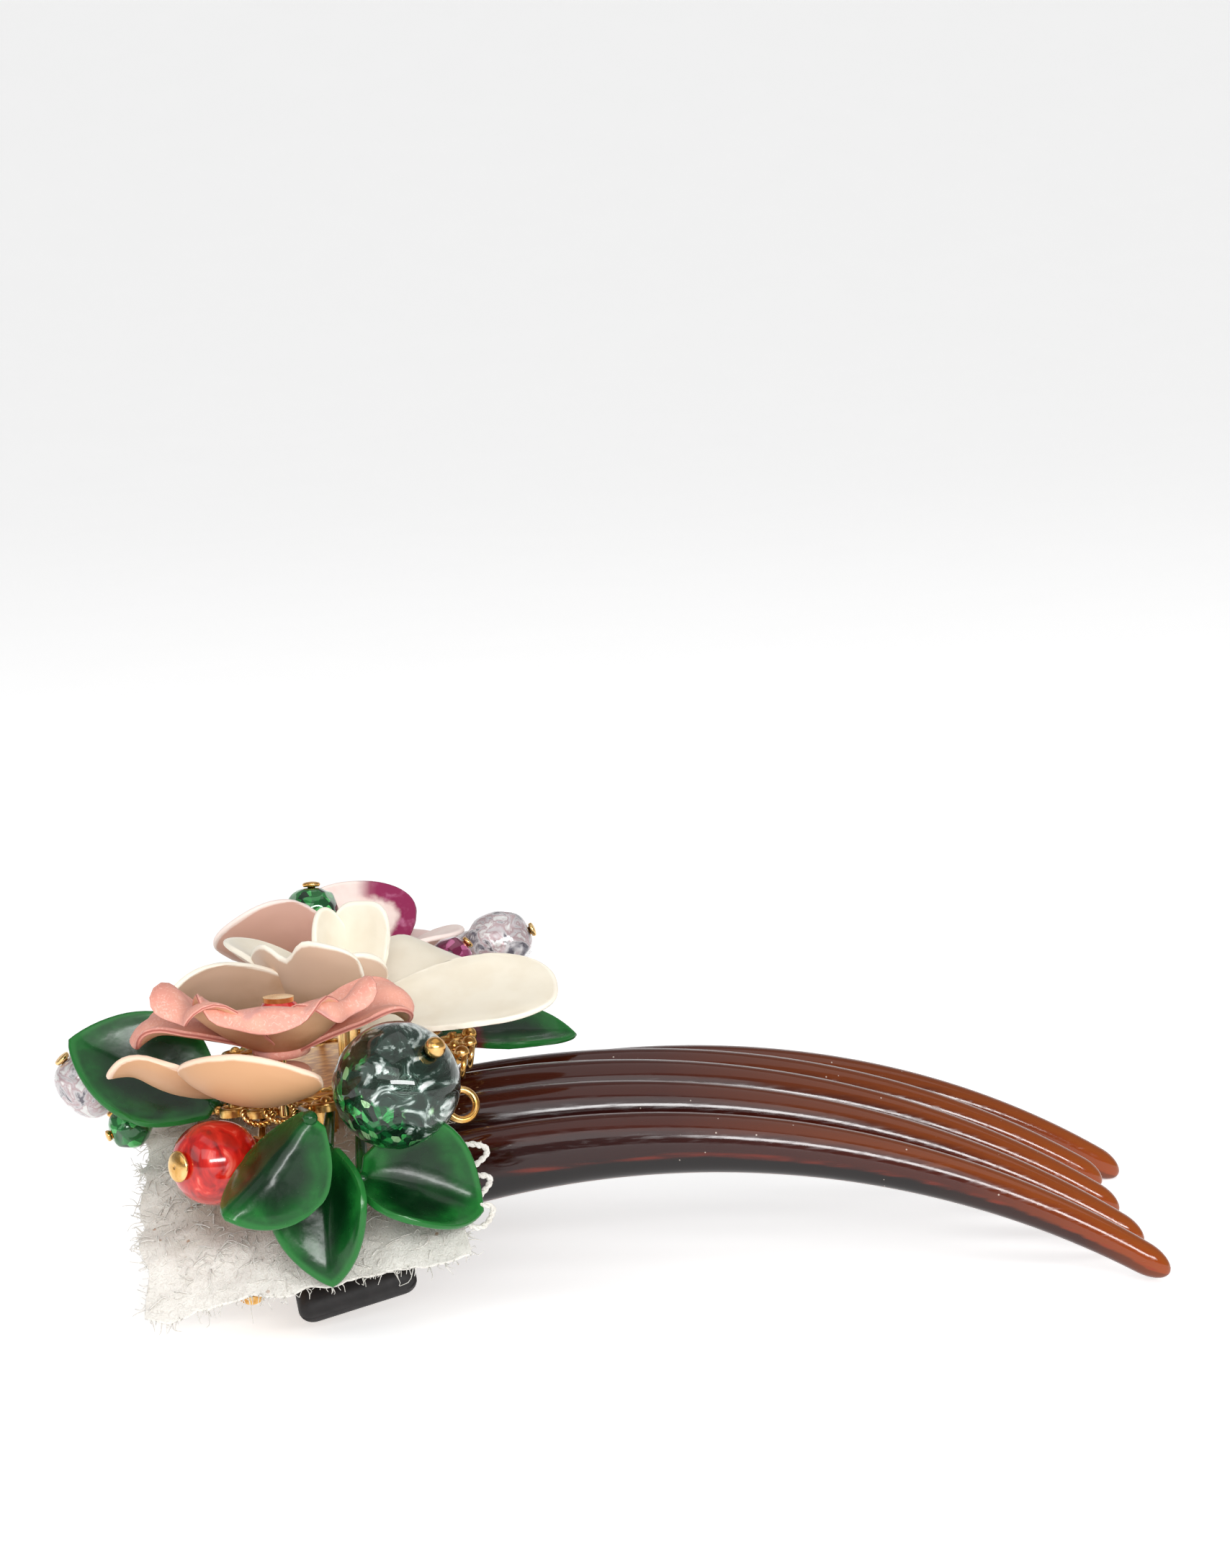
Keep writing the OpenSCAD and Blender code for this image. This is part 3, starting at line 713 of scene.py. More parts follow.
def petal_finish(name, inside, inside_2, outside, outside_painted_shade, rim):
    """Paint on a moulded petal: one pair of colours inside, another outside, a paler rim. The darker
    outside colour is painted shade, laid towards the petal's base.
    """
    f = Finish(name, Specular_IOR_Level=0.35)
    blot = f.between(f.noise(3.2, 4), 0.35, 0.7)
    top = f.mix(blot, inside, inside_2)
    # Painted shade: the outer face turns to its darker colour towards the petal's base, in the heart
    # of the flower.
    painted_shade = f.between(f.value_of("along"), 0.75, 0.15)
    low = f.mix(f.times(painted_shade, f.plus(0.45, f.times(blot, 0.5))), outside, outside_painted_shade)
    colour = f.mix(f.between(f.value_of("under"), 0.55, 0.8), top, low)
    edge = f.between(f.plus(f.value_of("edge"), f.times(blot, 0.15)), 0.42, 0.1)
    colour = f.mix(edge, colour, rim)
    return f, colour


def painted_petals(f, colour, base, extra, grain, strength, depth):
    """The colour, with the uneven gloss and fine bumps of dry paint."""
    f.to("Base Color", colour)
    f.roughness(base, extra, f.noise(1.5, 3))
    f.relief(f.noise(grain, 4), strength, depth)
    return f.material


def cream_petals():
    f, colour = petal_finish("cream_petals", srgb(236, 228, 210), srgb(231, 221, 201),
                             srgb(206, 176, 152), srgb(168, 132, 100), srgb(246, 238, 222))
    return painted_petals(f, colour, 0.28, 0.16, 0.5, 0.15, 0.04)


def coral_petals():
    f, colour = petal_finish("coral_petals", srgb(233, 166, 146), srgb(221, 150, 134),
                             srgb(222, 178, 140), srgb(190, 136, 94), srgb(226, 158, 142))
    stroke = f.noise(0.55, 5, distortion=2.0)
    under = f.value_of("under")
    brushed = f.times(f.between(stroke, 0.5, 0.72), f.between(under, 0.6, 0.3))
    colour = f.mix(f.times(brushed, 0.55), colour, srgb(247, 203, 188))
    grey = f.times(f.between(f.noise(4.0, 3), 0.55, 0.72), f.between(under, 0.6, 0.3))
    colour = f.mix(f.times(grey, 0.5), colour, srgb(170, 132, 132))
    line = f.times(f.between(under, 0.35, 0.55), f.between(under, 0.85, 0.6))
    colour = f.mix(f.times(line, 0.8), colour, srgb(150, 66, 54))
    f.to("Base Color", colour)
    f.roughness(0.5, 0.2, stroke)
    f.relief(stroke, 0.35, 0.05)
    return f.material


def tan_petals():
    f, colour = petal_finish("tan_petals", srgb(224, 160, 138), srgb(200, 134, 104),
                             srgb(200, 152, 112), srgb(164, 112, 70), srgb(240, 208, 184))
    return painted_petals(f, colour, 0.36, 0.2, 0.6, 0.2, 0.05)


def blush_petals():
    f, colour = petal_finish("blush_petals", srgb(241, 222, 214), srgb(236, 208, 200),
                             srgb(214, 172, 156), srgb(180, 132, 116), srgb(246, 228, 220))
    brush = f.times(f.plus(f.noise(1.2, 4), -0.5), 1.2)
    near_rim = f.between(f.plus(f.value_of("edge"), brush), 2.5, 1.5)
    band = f.times(f.value_of("paint"), near_rim)
    pigment = f.mix(f.between(f.noise(1.8, 3), 0.5, 0.75), srgb(142, 34, 80), srgb(190, 112, 146))
    colour = f.mix(band, colour, pigment)
    return painted_petals(f, colour, 0.36, 0.16, 0.6, 0.15, 0.04)


def leaf_gloss():
    f = Finish("leaf_gloss", Specular_IOR_Level=0.3, Coat_Weight=0.12, Coat_Roughness=0.08)
    blot = f.noise(3.5, 4, distortion=0.4)
    colour = f.ramp(blot, (0.3, srgb(8, 54, 20)), (0.52, srgb(12, 78, 28)),
                    (0.72, srgb(26, 104, 40)))
    # Painted shade: the upper face darkens to near black away from the rim, inside the leaf's cup.
    painted_shade = f.times(f.between(f.value_of("edge"), 1.0, 3.6),
                   f.between(f.value_of("under"), 0.6, 0.4))
    colour = f.mix(f.times(painted_shade, 0.8), colour, srgb(2, 22, 9))
    # Painted highlight: a lighter green along the rim.
    edge = f.between(f.value_of("edge"), 0.7, 0.15)
    colour = f.mix(f.times(edge, 0.75), colour, srgb(34, 112, 46))
    colour = f.mix(f.times(f.value_of("paint"), 0.85), colour, srgb(104, 22, 40))
    f.to("Base Color", colour)
    f.roughness(0.14, 0.2, f.noise(1.0, 3))
    f.relief(f.noise(2.4, 3), 0.35, 0.2)
    return f.material


def coral_glass():
    """Red glass with pale veins."""
    f = Finish("coral_glass", Coat_Weight=0.5, Coat_Roughness=0.05)
    vein = f.noise(3.2, 3, stretch=(1, 1, 0.6), distortion=2.2)
    colour = f.ramp(vein, (0.3, srgb(126, 10, 8)), (0.48, srgb(182, 20, 14)),
                    (0.6, srgb(204, 38, 26)), (0.72, srgb(232, 118, 100)))
    f.to("Base Color", colour)
    f.roughness(0.1, 0.1, f.noise(1.0, 3))
    f.relief(f.noise(1.2, 3), 0.15, 0.05)
    return f.material


def crackle_glass():
    """Foil-flecked green glass that turns clear and silvery towards the pin's head."""
    f = Finish("crackle_glass", Metallic=0.55, Coat_Weight=1.0, Coat_Roughness=0.03, IOR=1.5)
    fleck = f.cell_values(0.75, stretch=(1, 1, 0.6))
    green = f.ramp(fleck[0], (0.0, srgb(4, 26, 16)), (0.45, srgb(10, 62, 34)),
                   (0.72, srgb(16, 120, 58)), (0.88, srgb(70, 200, 100)),
                   (1.0, srgb(205, 240, 190)))
    crack = f.noise(3.4, 5, stretch=(1, 0.45, 1), distortion=2.2)
    silver = f.ramp(crack, (0.44, srgb(6, 34, 20)), (0.54, srgb(34, 62, 50)),
                    (0.6, srgb(176, 190, 184)), (0.68, srgb(250, 252, 250)))
    head_end = f.plus(f.value_of("along"),
                      f.times(f.plus(f.noise(3.6, 3), -0.5), 1.1))
    f.to("Base Color", f.mix(f.between(head_end, 0.58, 0.7), green, silver))
    f.roughness(0.08, 0.25, fleck[1])
    relief = f.plus(f.times(fleck[2], 0.5), crack)
    f.relief(relief, 0.9, 0.5)
    return f.material


def foil_glass(name, dark, middle, light, size):
    f = Finish(name, Metallic=0.35, Coat_Weight=1.0, Coat_Roughness=0.04)
    fleck = f.cell_values(size)
    f.to("Base Color", f.ramp(fleck[0], (0.1, dark), (0.6, middle), (0.95, light)))
    f.roughness(0.08, 0.2, fleck[1])
    f.relief(fleck[2], 0.7, 0.3)
    return f.material


def clear_glass():
    """Clear pressed glass with the pale pink and gold bloom of a vapour coating."""
    f = Finish("clear_glass", Transmission_Weight=0.35, IOR=1.5, Coat_Weight=1.0,
               Coat_Roughness=0.04, Metallic=0.1)
    bloom = f.noise(2.2, 4, distortion=1.5)
    f.to("Base Color", f.ramp(bloom, (0.36, srgb(96, 92, 104)), (0.45, srgb(226, 222, 224)),
                              (0.54, srgb(196, 166, 170)), (0.62, srgb(250, 250, 248))))
    f.roughness(0.08, 0.25, bloom)
    f.relief(f.noise(1.4, 2), 0.6, 0.3)
    return f.material


TORTOISESHELL = tortoiseshell()
BLACK_RUBBER = black_rubber()
BRASS = metal("brass", srgb(244, 200, 124), srgb(196, 138, 70), 1.2, 0.24, 0.05)
GOLD = metal("gold", srgb(246, 208, 144), srgb(214, 160, 84), 2.0, 0.16, 0.03)
LACE = cloth("lace", srgb(230, 227, 220), srgb(200, 192, 180))
CREAM = cream_petals()
CORAL_PAINT = coral_petals()
TAN_PAINT = tan_petals()
BLUSH = blush_petals()
LEAF = leaf_gloss()
CORAL_GLASS = coral_glass()
CRACKLE_GLASS = crackle_glass()
CLEAR_GLASS = clear_glass()
GREEN_GLASS = foil_glass("green_glass", srgb(6, 48, 24), srgb(18, 120, 50), srgb(90, 205, 110), 1.1)
FUCHSIA_GLASS = foil_glass("fuchsia_glass", srgb(60, 8, 34), srgb(128, 22, 72),
                           srgb(206, 110, 160), 1.1)


# ---------------------------------------------------------------- comb and its sleeve

def crest_height(x):
    return CREST_TOP[1] - CREST_RADIUS + math.sqrt(CREST_RADIUS ** 2 - (x - CREST_TOP[0]) ** 2)


def tooth_ring(i, s, tip, sides):
    """One ring of a tooth: s is the share of its length from root to tip."""
    x = ROOT_X + (tip - ROOT_X) * s
    share = (x - ROOT_X) / (TIP_X - ROOT_X)
    y = (i - 2) * between_ends(TOOTH_SPACING, share ** 1.1)
    drop = ((i - 2) / 2) ** 2 * between_ends(TOOTH_DROP, share)
    swell = 1 if s > 0.1 else 0.3 + 0.7 * math.sin(math.radians(900 * s))
    height = between_ends(TOOTH_HEIGHT, s ** 1.15) * swell
    width = between_ends(TOOTH_WIDTH, s)
    rounding = max(0, s - TOOTH_ROUND_FROM) / (1 - TOOTH_ROUND_FROM)
    close = math.sqrt(max(0.0004, 1 - rounding ** 2))
    z = crest_height(x) - drop - height / 2 - 0.5 * max(0, 1 - 8 * s)
    slope = -(x - CREST_TOP[0]) / CREST_RADIUS
    points = []
    for k in range(sides):
        a = 2 * math.pi * (k + 0.5) / sides
        c, q = math.cos(a), math.sin(a)
        up = math.copysign(abs(q) ** 0.94, q) * height * close / 2
        side = math.copysign(abs(c) ** 0.94, c) * width * close / 2
        points.append((x - up * slope, y + side, z + up))
    return points


def arc_section(radius_low, radius_high, x_low, x_high, corner, theta, steps=5):
    """A rounded rectangle across the arch at angle theta, in the saddle's axes."""
    corner = min(corner, (radius_high - radius_low) / 2, (x_high - x_low) / 2)
    centres = [(x_high - corner, radius_high - corner), (x_low + corner, radius_high - corner),
               (x_low + corner, radius_low + corner), (x_high - corner, radius_low + corner)]
    points = []
    for n, (x, r) in enumerate(centres):
        for k in range(steps + 1):
            a = math.pi / 2 * (n + k / steps)
            px = x + corner * math.cos(a)
            pr = r + corner * math.sin(a)
            points.append((px, pr * math.sin(theta), pr * math.cos(theta)))
    return points


def arch_bar(low, high, x_low, x_high, corner, half_angle, count, end_round=0.0):
    """(points, faces) of a bar bent round the saddle. x_high may depend on the angle."""
    half = math.radians(half_angle)
    middle = (low + high) / 2
    round_angle = end_round / middle
    thetas = list(np.linspace(-half + round_angle, half - round_angle, count))
    shrink = [0.0] * count
    for k in range(1, 7 if end_round else 1):
        a = math.pi / 2 * k / 6
        thetas.insert(0, -half + round_angle * (1 - math.sin(a)))
        thetas.append(half - round_angle * (1 - math.sin(a)))
        shrink.insert(0, end_round * (1 - math.cos(a)))
        shrink.append(end_round * (1 - math.cos(a)))
    rings = []
    for theta, cut in zip(thetas, shrink):
        top = x_high(math.degrees(theta)) if callable(x_high) else x_high
        rings.append(arc_section(low + cut, high - cut, x_low + cut, top - cut,
                                 max(corner - cut * 0.5, 0.05), theta))
    points = in_saddle(np.array(rings).reshape(-1, 3))
    return points, capped(len(rings), len(rings[0]))


def build_comb():
    shape = Shape()
    sides = 28
    for i, trim in enumerate(TOOTH_TRIMS):
        tip = np.sin(np.linspace(0, 1, 10) * math.pi / 2)
        places = np.concatenate([np.linspace(0, 0.1, 9), np.linspace(0.11, 0.965, 60),
                                 between_ends((TOOTH_ROUND_FROM, 1), tip)])
        rings = [tooth_ring(i, s, TIP_X - trim, sides) for s in places]
        rise = np.tile([math.sin(2 * math.pi * (k + 0.5) / sides) for k in range(sides)],
                       len(places))
        points = np.array(rings).reshape(-1, 3)
        shape.add(points, capped(len(places), sides), rise=rise,
                  along=np.repeat(places, sides))
    low = SADDLE_RADIUS - SLEEVE_THICK + SLEEVE_WALL
    inner = SLEEVE_WIDTH / 2 - SLEEVE_WALL
    shape.add(*arch_bar(low, SADDLE_RADIUS - SLEEVE_WALL, -inner, inner, 0.4,
                        SLEEVE_HALF_ANGLE - 1, 50))
    shape.piece("tortoiseshell_comb", [TORTOISESHELL], "tortoiseshell", replaces=["comb"])


def build_sleeve():
    """The sleeve wraps the whole spine at its ends and only its back where the teeth leave."""
    def toothed_side(degrees):
        open_share = float(smooth(abs(degrees), WINDOW_HALF_ANGLE - 0.6, WINDOW_HALF_ANGLE + 0.6))
        return -1.2 + (SLEEVE_WIDTH / 2 + 1.2) * open_share

    shape = Shape()
    shape.add(*arch_bar(SADDLE_RADIUS - SLEEVE_THICK, SADDLE_RADIUS, -SLEEVE_WIDTH / 2,
                        toothed_side, 1.58, SLEEVE_HALF_ANGLE, 150, end_round=1.2))
    shape.piece("rubber_sleeve", [BLACK_RUBBER], "black_rubber", replaces=["spine_sleeve"])


# ---------------------------------------------------------------- beads and pins

def bead_profile(diameter, length, squareness):
    """A closed profile: out along the rounded side, and back down the bore."""
    bore = PIN_DIAMETER / 2 + 0.05
    half = length / 2 - BEAD_TRIM
    out = []
    for k in range(29):
        a = -math.pi / 2 + math.pi * k / 28
        r = abs(math.cos(a)) ** squareness * (diameter / 2 - bore) + bore
        z = math.copysign(abs(math.sin(a)) ** squareness, math.sin(a)) * half
        out.append((r, z))
    return out


def build_bead(bead, material, slot, flutes=0, facets=0):
    points, faces = lathe(bead_profile(bead.diameter, bead.length, BEAD_SQUARENESS), 56)
    along = points[:, 2] / bead.length + 0.5
    radial = np.linalg.norm(points[:, :2], axis=1)
    outer = smooth(radial, PIN_DIAMETER, bead.diameter * 0.3)
    angle = np.arctan2(points[:, 1], points[:, 0])
    if flutes:
        depth = 0.028 * (0.5 + 0.5 * np.cos(flutes * angle)) * smooth(along, 0.5, 0.25)
        points[:, :2] *= (1 - depth * outer)[:, None]
    if facets:
        picker = random.Random(len(bead.name))
        for _ in range(facets):
            n = unit([picker.gauss(0, 1) for _ in range(3)])
            limit = np.array([bead.diameter, bead.diameter, bead.length]) / 2
            reach = np.linalg.norm(n * limit) * 0.95
            excess = np.clip(points @ n - reach, 0, None)
            points -= np.outer(excess * outer, n)
    shape = Shape()
    shape.add(moved(points, along_axis(bead.axis()), bead.centre), faces, along=along)
    name = bead.name + "_bead"
    shape.piece(bead.name + "_glass", [material], slot, body=name + "_body", replaces=[name])


def dome(diameter, height, thick):
    """A pin's head: flat underneath, domed on top, as a profile for lathe()."""
    r = diameter / 2
    profile = [(0.02, 0), (r * 0.9, 0), (r, thick * 0.4), (r, thick * 0.7)]
    profile += [(max(0.02, r * math.cos(a)), thick * 0.7 + height * math.sin(a))
                for a in np.linspace(0.2, math.pi / 2, 7)]
    return profile


def build_pin(bead, ball_head=False):
    """A head, the shank through the bead, a collar, and the tail bent in to its anchor."""
    axis = bead.axis()
    centre = np.array(bead.centre)
    reach = bead.length / 2 - BEAD_TRIM + HEAD_GAP
    bend = centre - axis * bead.tail
    anchor = np.array(bead.anchor)
    inward = unit(anchor - bend)
    shape = Shape()
    path = [centre + axis * (reach + 0.1), centre, bend + axis * 0.8]
    path += [bend + axis * 0.2 + inward * 0.2, bend + inward * 0.8, anchor]
    corner = smooth_path(path[2:5], 9)
    shape.add(*tube(np.vstack([path[:2], corner, path[5:]]), PIN_DIAMETER / 2, 12))
    aim = along_axis(axis)
    if ball_head:
        head = ball((0, 0, bead.head * 0.36), bead.head / 2, 24, 14)
    else:
        head = lathe(dome(bead.head, bead.head * 0.14, 0.45), 28)
    shape.add(*placed(head, aim, centre + axis * reach))
    for coil in range(2):
        r = (PIN_DIAMETER + 0.45) / 2
        ring = oval(r, r, 20, (0, 0, -reach - 0.18 - 0.3 * coil))
        shape.add(*tube(moved(ring, aim, centre), 0.2, 8, closed=True))
    shape.piece(bead.name + "_head_pin", [GOLD], "gold", replaces=[bead.name + "_pin"])


# ---------------------------------------------------------------- leaves

def build_leaf(name, row, number):
    base, azimuth, rise, roll, blade, stem_end = row
    grid, u = blade_grid(blade, seed=number * 5.1)
    points = moved(grid.reshape(-1, 3), aimed(azimuth, rise, roll), base)
    striped = name == "leaf_back_right"
    stripe = smooth(u, 0.12, 0.17) * smooth(u, 0.3, 0.25) if striped else 0.0
    shape = Shape()
    add_sheet(shape, points.reshape(grid.shape), blade.thick, along=u, paint=stripe)
    stem = np.linspace(np.array(base, float), np.array(stem_end, float), 10)
    shape.add(*tube(stem, np.linspace(0.75, 0.5, 10)), edge=1.0)
    shape.add(*ball(base, 0.8), edge=1.0)
    shape.piece(name + "_moulded", [LEAF], "leaf_enamel", replaces=[name])


# ---------------------------------------------------------------- lace

def lace_place(x, y, lift):
    """A point of the lace in the saddle's axes, at a place in plan."""
    r = LACE_RADIUS - LACE_THICK / 2 + lift
    theta = np.arcsin(np.clip(np.asarray(y) / r, -0.99, 0.99))
    return np.stack([x, r * np.sin(theta), r * np.cos(theta)], axis=-1)


def build_lace():
    rows, columns = 64, 150
    s = np.linspace(-1, 1, columns)
    t = np.linspace(0, 1, rows)
    scallop_y = 0.7 * np.abs(np.sin(s * 17.5))
    torn = rough([(a * 40, 3, 0) for a in s], 3.5, 4) * 0.7
    torn_2 = rough([(a * 40, 30, 0) for a in s], 3.5, 8) * 0.7
    back = LACE_BACK - scallop_y + torn
    front = LACE_FRONT + scallop_y + torn_2 * 0.8 + 1.5 * smooth(-s, 0.55, 0.8)
    torn_side = rough([(a * 30, 60, 0) for a in t], 3.0, 2) * 0.6
    side = LACE_SIDE + 0.5 * np.abs(np.sin(t * 19)) + torn_side
    x = back[None, :] + (front - back)[None, :] * t[:, None]
    y = s[None, :] * (side[:, None] - np.where(s > 0, 1.5, 0.0))
    flat = np.stack([x, y, np.zeros_like(x)], axis=-1).reshape(-1, 3)
    lift = rough(flat, 7.0, 3) * 0.35 + rough(flat, 2.4, 5) * 0.3 + rough(flat, 1.0, 6) * 0.16
    inside = smooth(np.abs(x), 14, 3) * smooth(np.abs(y), 26, 12)
    ruffle = 0.5 * np.sin(s * 21)[None, :] * smooth(t, 0.4, 0.0)[:, None]
    lift = lift.reshape(x.shape) * (1 - 0.7 * inside) + ruffle
    grid = lifted(lace_place(x, y, lift).reshape(-1, 3)).reshape(rows, columns, 3)
    shape = Shape()
    inner = smooth(np.abs(x + 2), 16, 8) * smooth(np.abs(y), 31, 24)
    add_sheet(shape, grid, LACE_THICK, inner=inner)
    sheet = shape.piece("lace_cloth", [LACE], "lace", replaces=["lace_backing"])
    return sheet, grid


def build_fringe(grid):
    """Loose fibres along the torn rim of the lace, and matted ones all over its face."""
    picker = random.Random(11)
    shape = Shape()
    rows, columns = grid.shape[:2]
    loop = sheet_border(rows, columns)
    for _ in range(RIM_FIBRES):
        a, b = loop[picker.randrange(len(loop))]
        start = np.array(grid[a])
        out = unit(grid[a] - grid[b])
        length = picker.uniform(0.5, 1.8)
        drift = np.array([picker.gauss(0, 0.5) for _ in range(3)])
        end = start + out * length * 0.7 + drift * length * 0.6
        bow = (start + end) / 2 + np.array([picker.gauss(0, 0.25) for _ in range(3)])
        path = smooth_path([start, bow, end], 6)
        shape.add(*tube(path, np.linspace(0.07, 0.035, 6), 3))
    for _ in range(FACE_FIBRES):
        i = picker.randrange(3, rows - 3)
        j = picker.randrange(3, columns - 3)
        start = np.array(grid[i, j])
        up = unit(np.cross(grid[i + 1, j] - grid[i - 1, j], grid[i, j + 1] - grid[i, j - 1]))
        lean = np.array([picker.gauss(0, 0.9) for _ in range(3)])
        lean -= up * np.dot(lean, up)
        bow = np.cross(up, lean) * picker.uniform(-0.5, 0.5)
        path = smooth_path([start, start + up * 0.42 + lean * 0.5 + bow,
                            start + up * 0.4 + lean, start + up * 0.1 + lean * 1.5 - bow], 9)
        shape.add(*tube(path, picker.uniform(0.04, 0.09), 3))
    return shape.piece("lace_fibres", [LACE], "lace")


def build_picots():
    """Three stiff loops of yarn at the front corner of the lace, each of two plies."""
    shape = Shape()
    for number, angle in enumerate((39, 34.5, 29.5)):
        steps = 44
        ring = []
        for k in range(steps):
            a = 2 * math.pi * k / steps
            wobble = 1 + 0.08 * math.sin(3 * a + number)
            ring.append((1.5 * math.cos(a) * wobble, 1.2 * math.sin(a) * wobble,
                         0.15 * math.sin(2 * a)))
        ring = moved(ring, turn("Z", 15) @ turn("X", 70), (15.6, 0, LACE_RADIUS + 1.2))
        ring = lifted(ring @ turn("X", angle).T)
        for strand in twisted(ring, 0.15, 6):
            shape.add(*tube(strand, 0.2, 8, closed=True))
    shape.piece("lace_picots", [LACE], "lace", replaces=["lace_edging"])


# ---------------------------------------------------------------- filigree and wire

def build_filigree():
    """Wire scrolls and granules soldered on the rim and face of the upper plate."""
    shape = Shape()
    rx, ry = UPPER_HALF
    scrolls = 26
    for n, (x, y, _) in enumerate(oval(rx - 1.6, ry - 1.6, scrolls)):
        ring = oval(1.35, 1.35, 22, (x, y, UPPER_TOP))
        shape.add(*tube(in_upper(ring), 0.27, 7, closed=True))
        shape.add(*ball(in_upper((x, y, UPPER_TOP + 0.15)), 0.62, 12, 8))
        a = 2 * math.pi * (n + 0.5) / scrolls
        knot = ((rx - 0.9) * math.cos(a), (ry - 0.9) * math.sin(a), 0.5)
        shape.add(*ball(in_upper(knot), 0.5, 10, 7))
    for degrees in range(-56, 24, 13):
        a = math.radians(degrees)
        x = (rx + 0.2) * math.cos(a)
        y = (ry + 0.2) * math.sin(a)
        shape.add(*ball(in_upper((x, y, 1.2)), 0.85, 16, 10), finish=1)
        ring = [(x + 0.3 * math.cos(b), y + 1.15 * math.sin(b), 1.15 * math.cos(b) - 0.2)
                for b in np.arange(24) * math.pi / 12]
        shape.add(*tube(in_upper(ring), 0.32, 8, closed=True), finish=1)
    for inset in (3.1, 5.4, 9.2):
        for strand in twisted(oval(rx - inset, ry - inset, 90, (0, 0, UPPER_TOP)), 0.12, 30):
            shape.add(*tube(in_upper(strand), 0.15, 6, closed=True))
    shape.piece("filigree_scrolls", [BRASS, GOLD], "brass")


def build_twisted_wire():
    shape = Shape()
    for k in range(2):
        place = (9.4 - 2.3 * k, -30.4 + 0.4 * k, 23 - 0.25 * k)
        ring = moved(oval(1.5, 1.5, 72), turn("Z", 20) @ turn("X", 35), place)
        for strand in twisted(ring, 0.19, 9):
            shape.add(*tube(strand, 0.18, 8, closed=True))
    shape.piece("rope_wire", [GOLD], "gold", replaces=["twisted_wire"])


def dress_cad_nodes():
    """The CAD nodes that are shown as they are, each with its material."""
    finishes = {
        "base_plate": BRASS, "binding_wires": BRASS, "upper_filigree": BRASS,
        "support_posts": BRASS, "cream_flower_rivet": GOLD, "blush_flower_rivet": GOLD,
        "coral_flower_pin": GOLD, "coral_cap": GOLD, "jump_ring": GOLD,
        "coral_flower_bead": CORAL_GLASS,
    }
    for node, material in finishes.items():
        piece = frame["nodes"][node]
        piece.data.materials.clear()
        piece.data.materials.append(material)
        piece.data.shade_smooth()
        piece.data.set_sharp_from_angle(angle=math.radians(35))


# ---------------------------------------------------------------- floor, light and camera

CAMERA_AT = (45.087, -465.63, 108.295)
CAMERA_DOWN = 7.0
CAMERA_ROLL = 2.85
CAMERA_LENS = 99.67


def build_floor():
    """A pale sheet that lies flat and sweeps up behind the comb."""
    width, front, back, rise = 6.0, -3.0, 1.6, 3.0
    profile = [(front, 0), (back, 0)]
    profile += [(back + rise * math.sin(a), rise * (1 - math.cos(a)))
                for a in np.linspace(0.05, math.pi / 2, 24)]
    points = [(x, y, z) for y, z in profile for x in (-width, width)]
    faces = [[2 * k, 2 * k + 1, 2 * k + 3, 2 * k + 2] for k in range(len(profile) - 1)]
    mesh = bpy.data.meshes.new("floor")
    mesh.from_pydata(points, [], faces)
    mesh.shade_smooth()
    f = Finish("floor_paper", Roughness=0.9, Specular_IOR_Level=0.0, Emission_Strength=0.5,
               Emission_Color=(1, 1, 1, 1))
    f.to("Base Color", f.mix(f.noise(40, 2), srgb(250, 250, 250), srgb(246, 246, 246)))
    mesh.materials.append(f.material)
    floor = bpy.data.objects.new("floor", mesh)
    bpy.context.scene.collection.objects.link(floor)


def soft_light(name, place, aim, size, power):
    light = bpy.data.lights.new(name, "AREA")
    light.shape = "RECTANGLE"
    light.size, light.size_y = size
    light.energy = power
    lamp = bpy.data.objects.new(name, light)
    lamp.location = place
    lamp.rotation_euler = (Vector(aim) - Vector(place)).to_track_quat("-Z", "Y").to_euler()
    bpy.context.scene.collection.objects.link(lamp)


def build_light():
    world = bpy.data.worlds.new("studio")
    world.use_nodes = True
    background = world.node_tree.nodes["Background"]
    background.inputs["Color"].default_value = (1, 1, 1, 1)
    background.inputs["Strength"].default_value = 0.3
    bpy.context.scene.world = world
    middle = (0, 0, 0.02)
    soft_light("overhead", (0.1, -0.1, 1.1), middle, (1.2, 1.0), 2.5)
    soft_light("strip_box", (0.24, -0.85, 0.3), middle, (0.8, 0.12), 6)
    soft_light("front_fill", (-0.2, -0.9, 0.62), middle, (0.9, 0.5), 2.4)
    soft_light("left_fill", (-0.9, -0.5, 0.5), middle, (0.6, 0.6), 1.2)


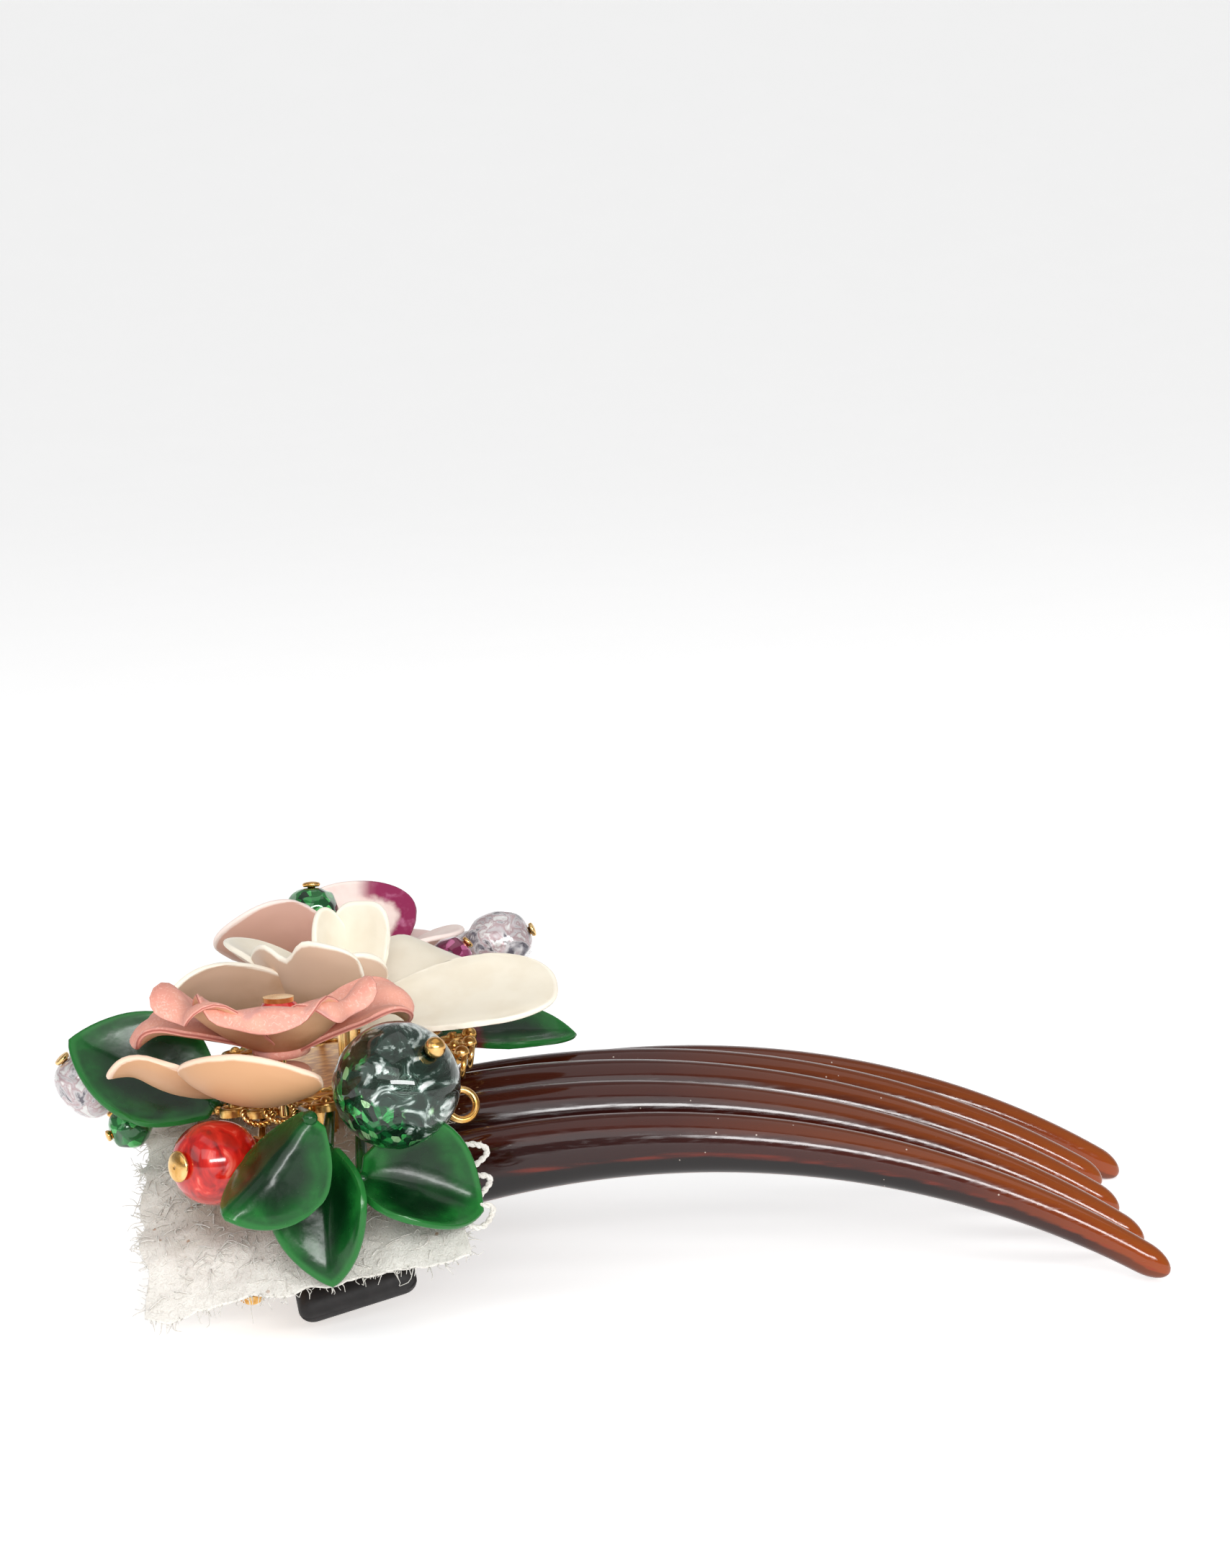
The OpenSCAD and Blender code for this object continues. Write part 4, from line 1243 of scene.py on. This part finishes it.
def build_camera():
    """Looks along +Y and a little down from about 0.46 m, rolled by under 3 degrees."""
    down = math.radians(CAMERA_DOWN)
    roll = math.radians(CAMERA_ROLL)
    right = Vector((1, 0, 0))
    up = Vector((0, math.sin(down), math.cos(down)))
    ahead = Vector((0, math.cos(down), -math.sin(down)))
    x_axis = math.cos(roll) * right - math.sin(roll) * up
    y_axis = math.sin(roll) * right + math.cos(roll) * up
    camera = bpy.data.cameras.new("camera")
    camera.sensor_fit = "AUTO"
    camera.sensor_width = 36
    camera.lens = CAMERA_LENS
    camera.clip_start = 0.01
    holder = bpy.data.objects.new("camera", camera)
    place = to_row(CAMERA_AT)
    holder.matrix_world = Matrix((
        (x_axis.x, y_axis.x, -ahead.x, place[0]),
        (x_axis.y, y_axis.y, -ahead.y, place[1]),
        (x_axis.z, y_axis.z, -ahead.z, place[2]),
        (0, 0, 0, 1),
    ))
    bpy.context.scene.collection.objects.link(holder)
    bpy.context.scene.camera = holder


# ---------------------------------------------------------------- everything together

build_comb()
build_sleeve()
sheet_piece, lace_grid = build_lace()
fringe_piece = build_fringe(lace_grid)
build_picots()
build_filigree()
build_twisted_wire()

flower("cream_flower", CREAM_AT, CREAM_PETALS, 6, 0, CREAM, "cream_enamel")
coral_top = (CORAL_AT[0], CORAL_AT[1], CORAL_AT[2] + CORAL_LAYER_RISE)
flower("coral_flower_upper", coral_top, CORAL_UPPER_PETALS, 6, CORAL_TILT, CORAL_PAINT,
       "coral_enamel")
flower("coral_flower_lower", CORAL_AT, CORAL_LOWER_PETALS, 6, CORAL_TILT, TAN_PAINT,
       "tan_enamel")
flower("blush_flower", BLUSH_AT, BLUSH_PETALS, 9, 0, BLUSH, "blush_enamel", painted=3)
for number, (leaf_name, leaf_row) in enumerate(LEAVES.items()):
    build_leaf(leaf_name, leaf_row, number)

build_bead(CRACKLE, CRACKLE_GLASS, "crackle_glass", flutes=18)
build_bead(CORAL, CORAL_GLASS, "coral_glass")
build_bead(CLEAR_SIDE, CLEAR_GLASS, "clear_glass")
build_bead(GREEN_SIDE, GREEN_GLASS, "green_glass", facets=40)
build_bead(GREEN_BACK, GREEN_GLASS, "green_glass", facets=40)
build_bead(FUCHSIA, FUCHSIA_GLASS, "fuchsia_glass", facets=40)
build_bead(CLEAR_BACK, CLEAR_GLASS, "clear_glass", facets=30)
build_bead(CRYSTAL_BACK, CLEAR_GLASS, "clear_glass", facets=40)
build_pin(CRACKLE, ball_head=True)
for bead in (CORAL, CLEAR_SIDE, GREEN_SIDE, GREEN_BACK, FUCHSIA, CLEAR_BACK, CRYSTAL_BACK):
    build_pin(bead)
dress_cad_nodes()

build_floor()
build_light()
build_camera()
bpy.context.scene.view_settings.view_transform = "Standard"
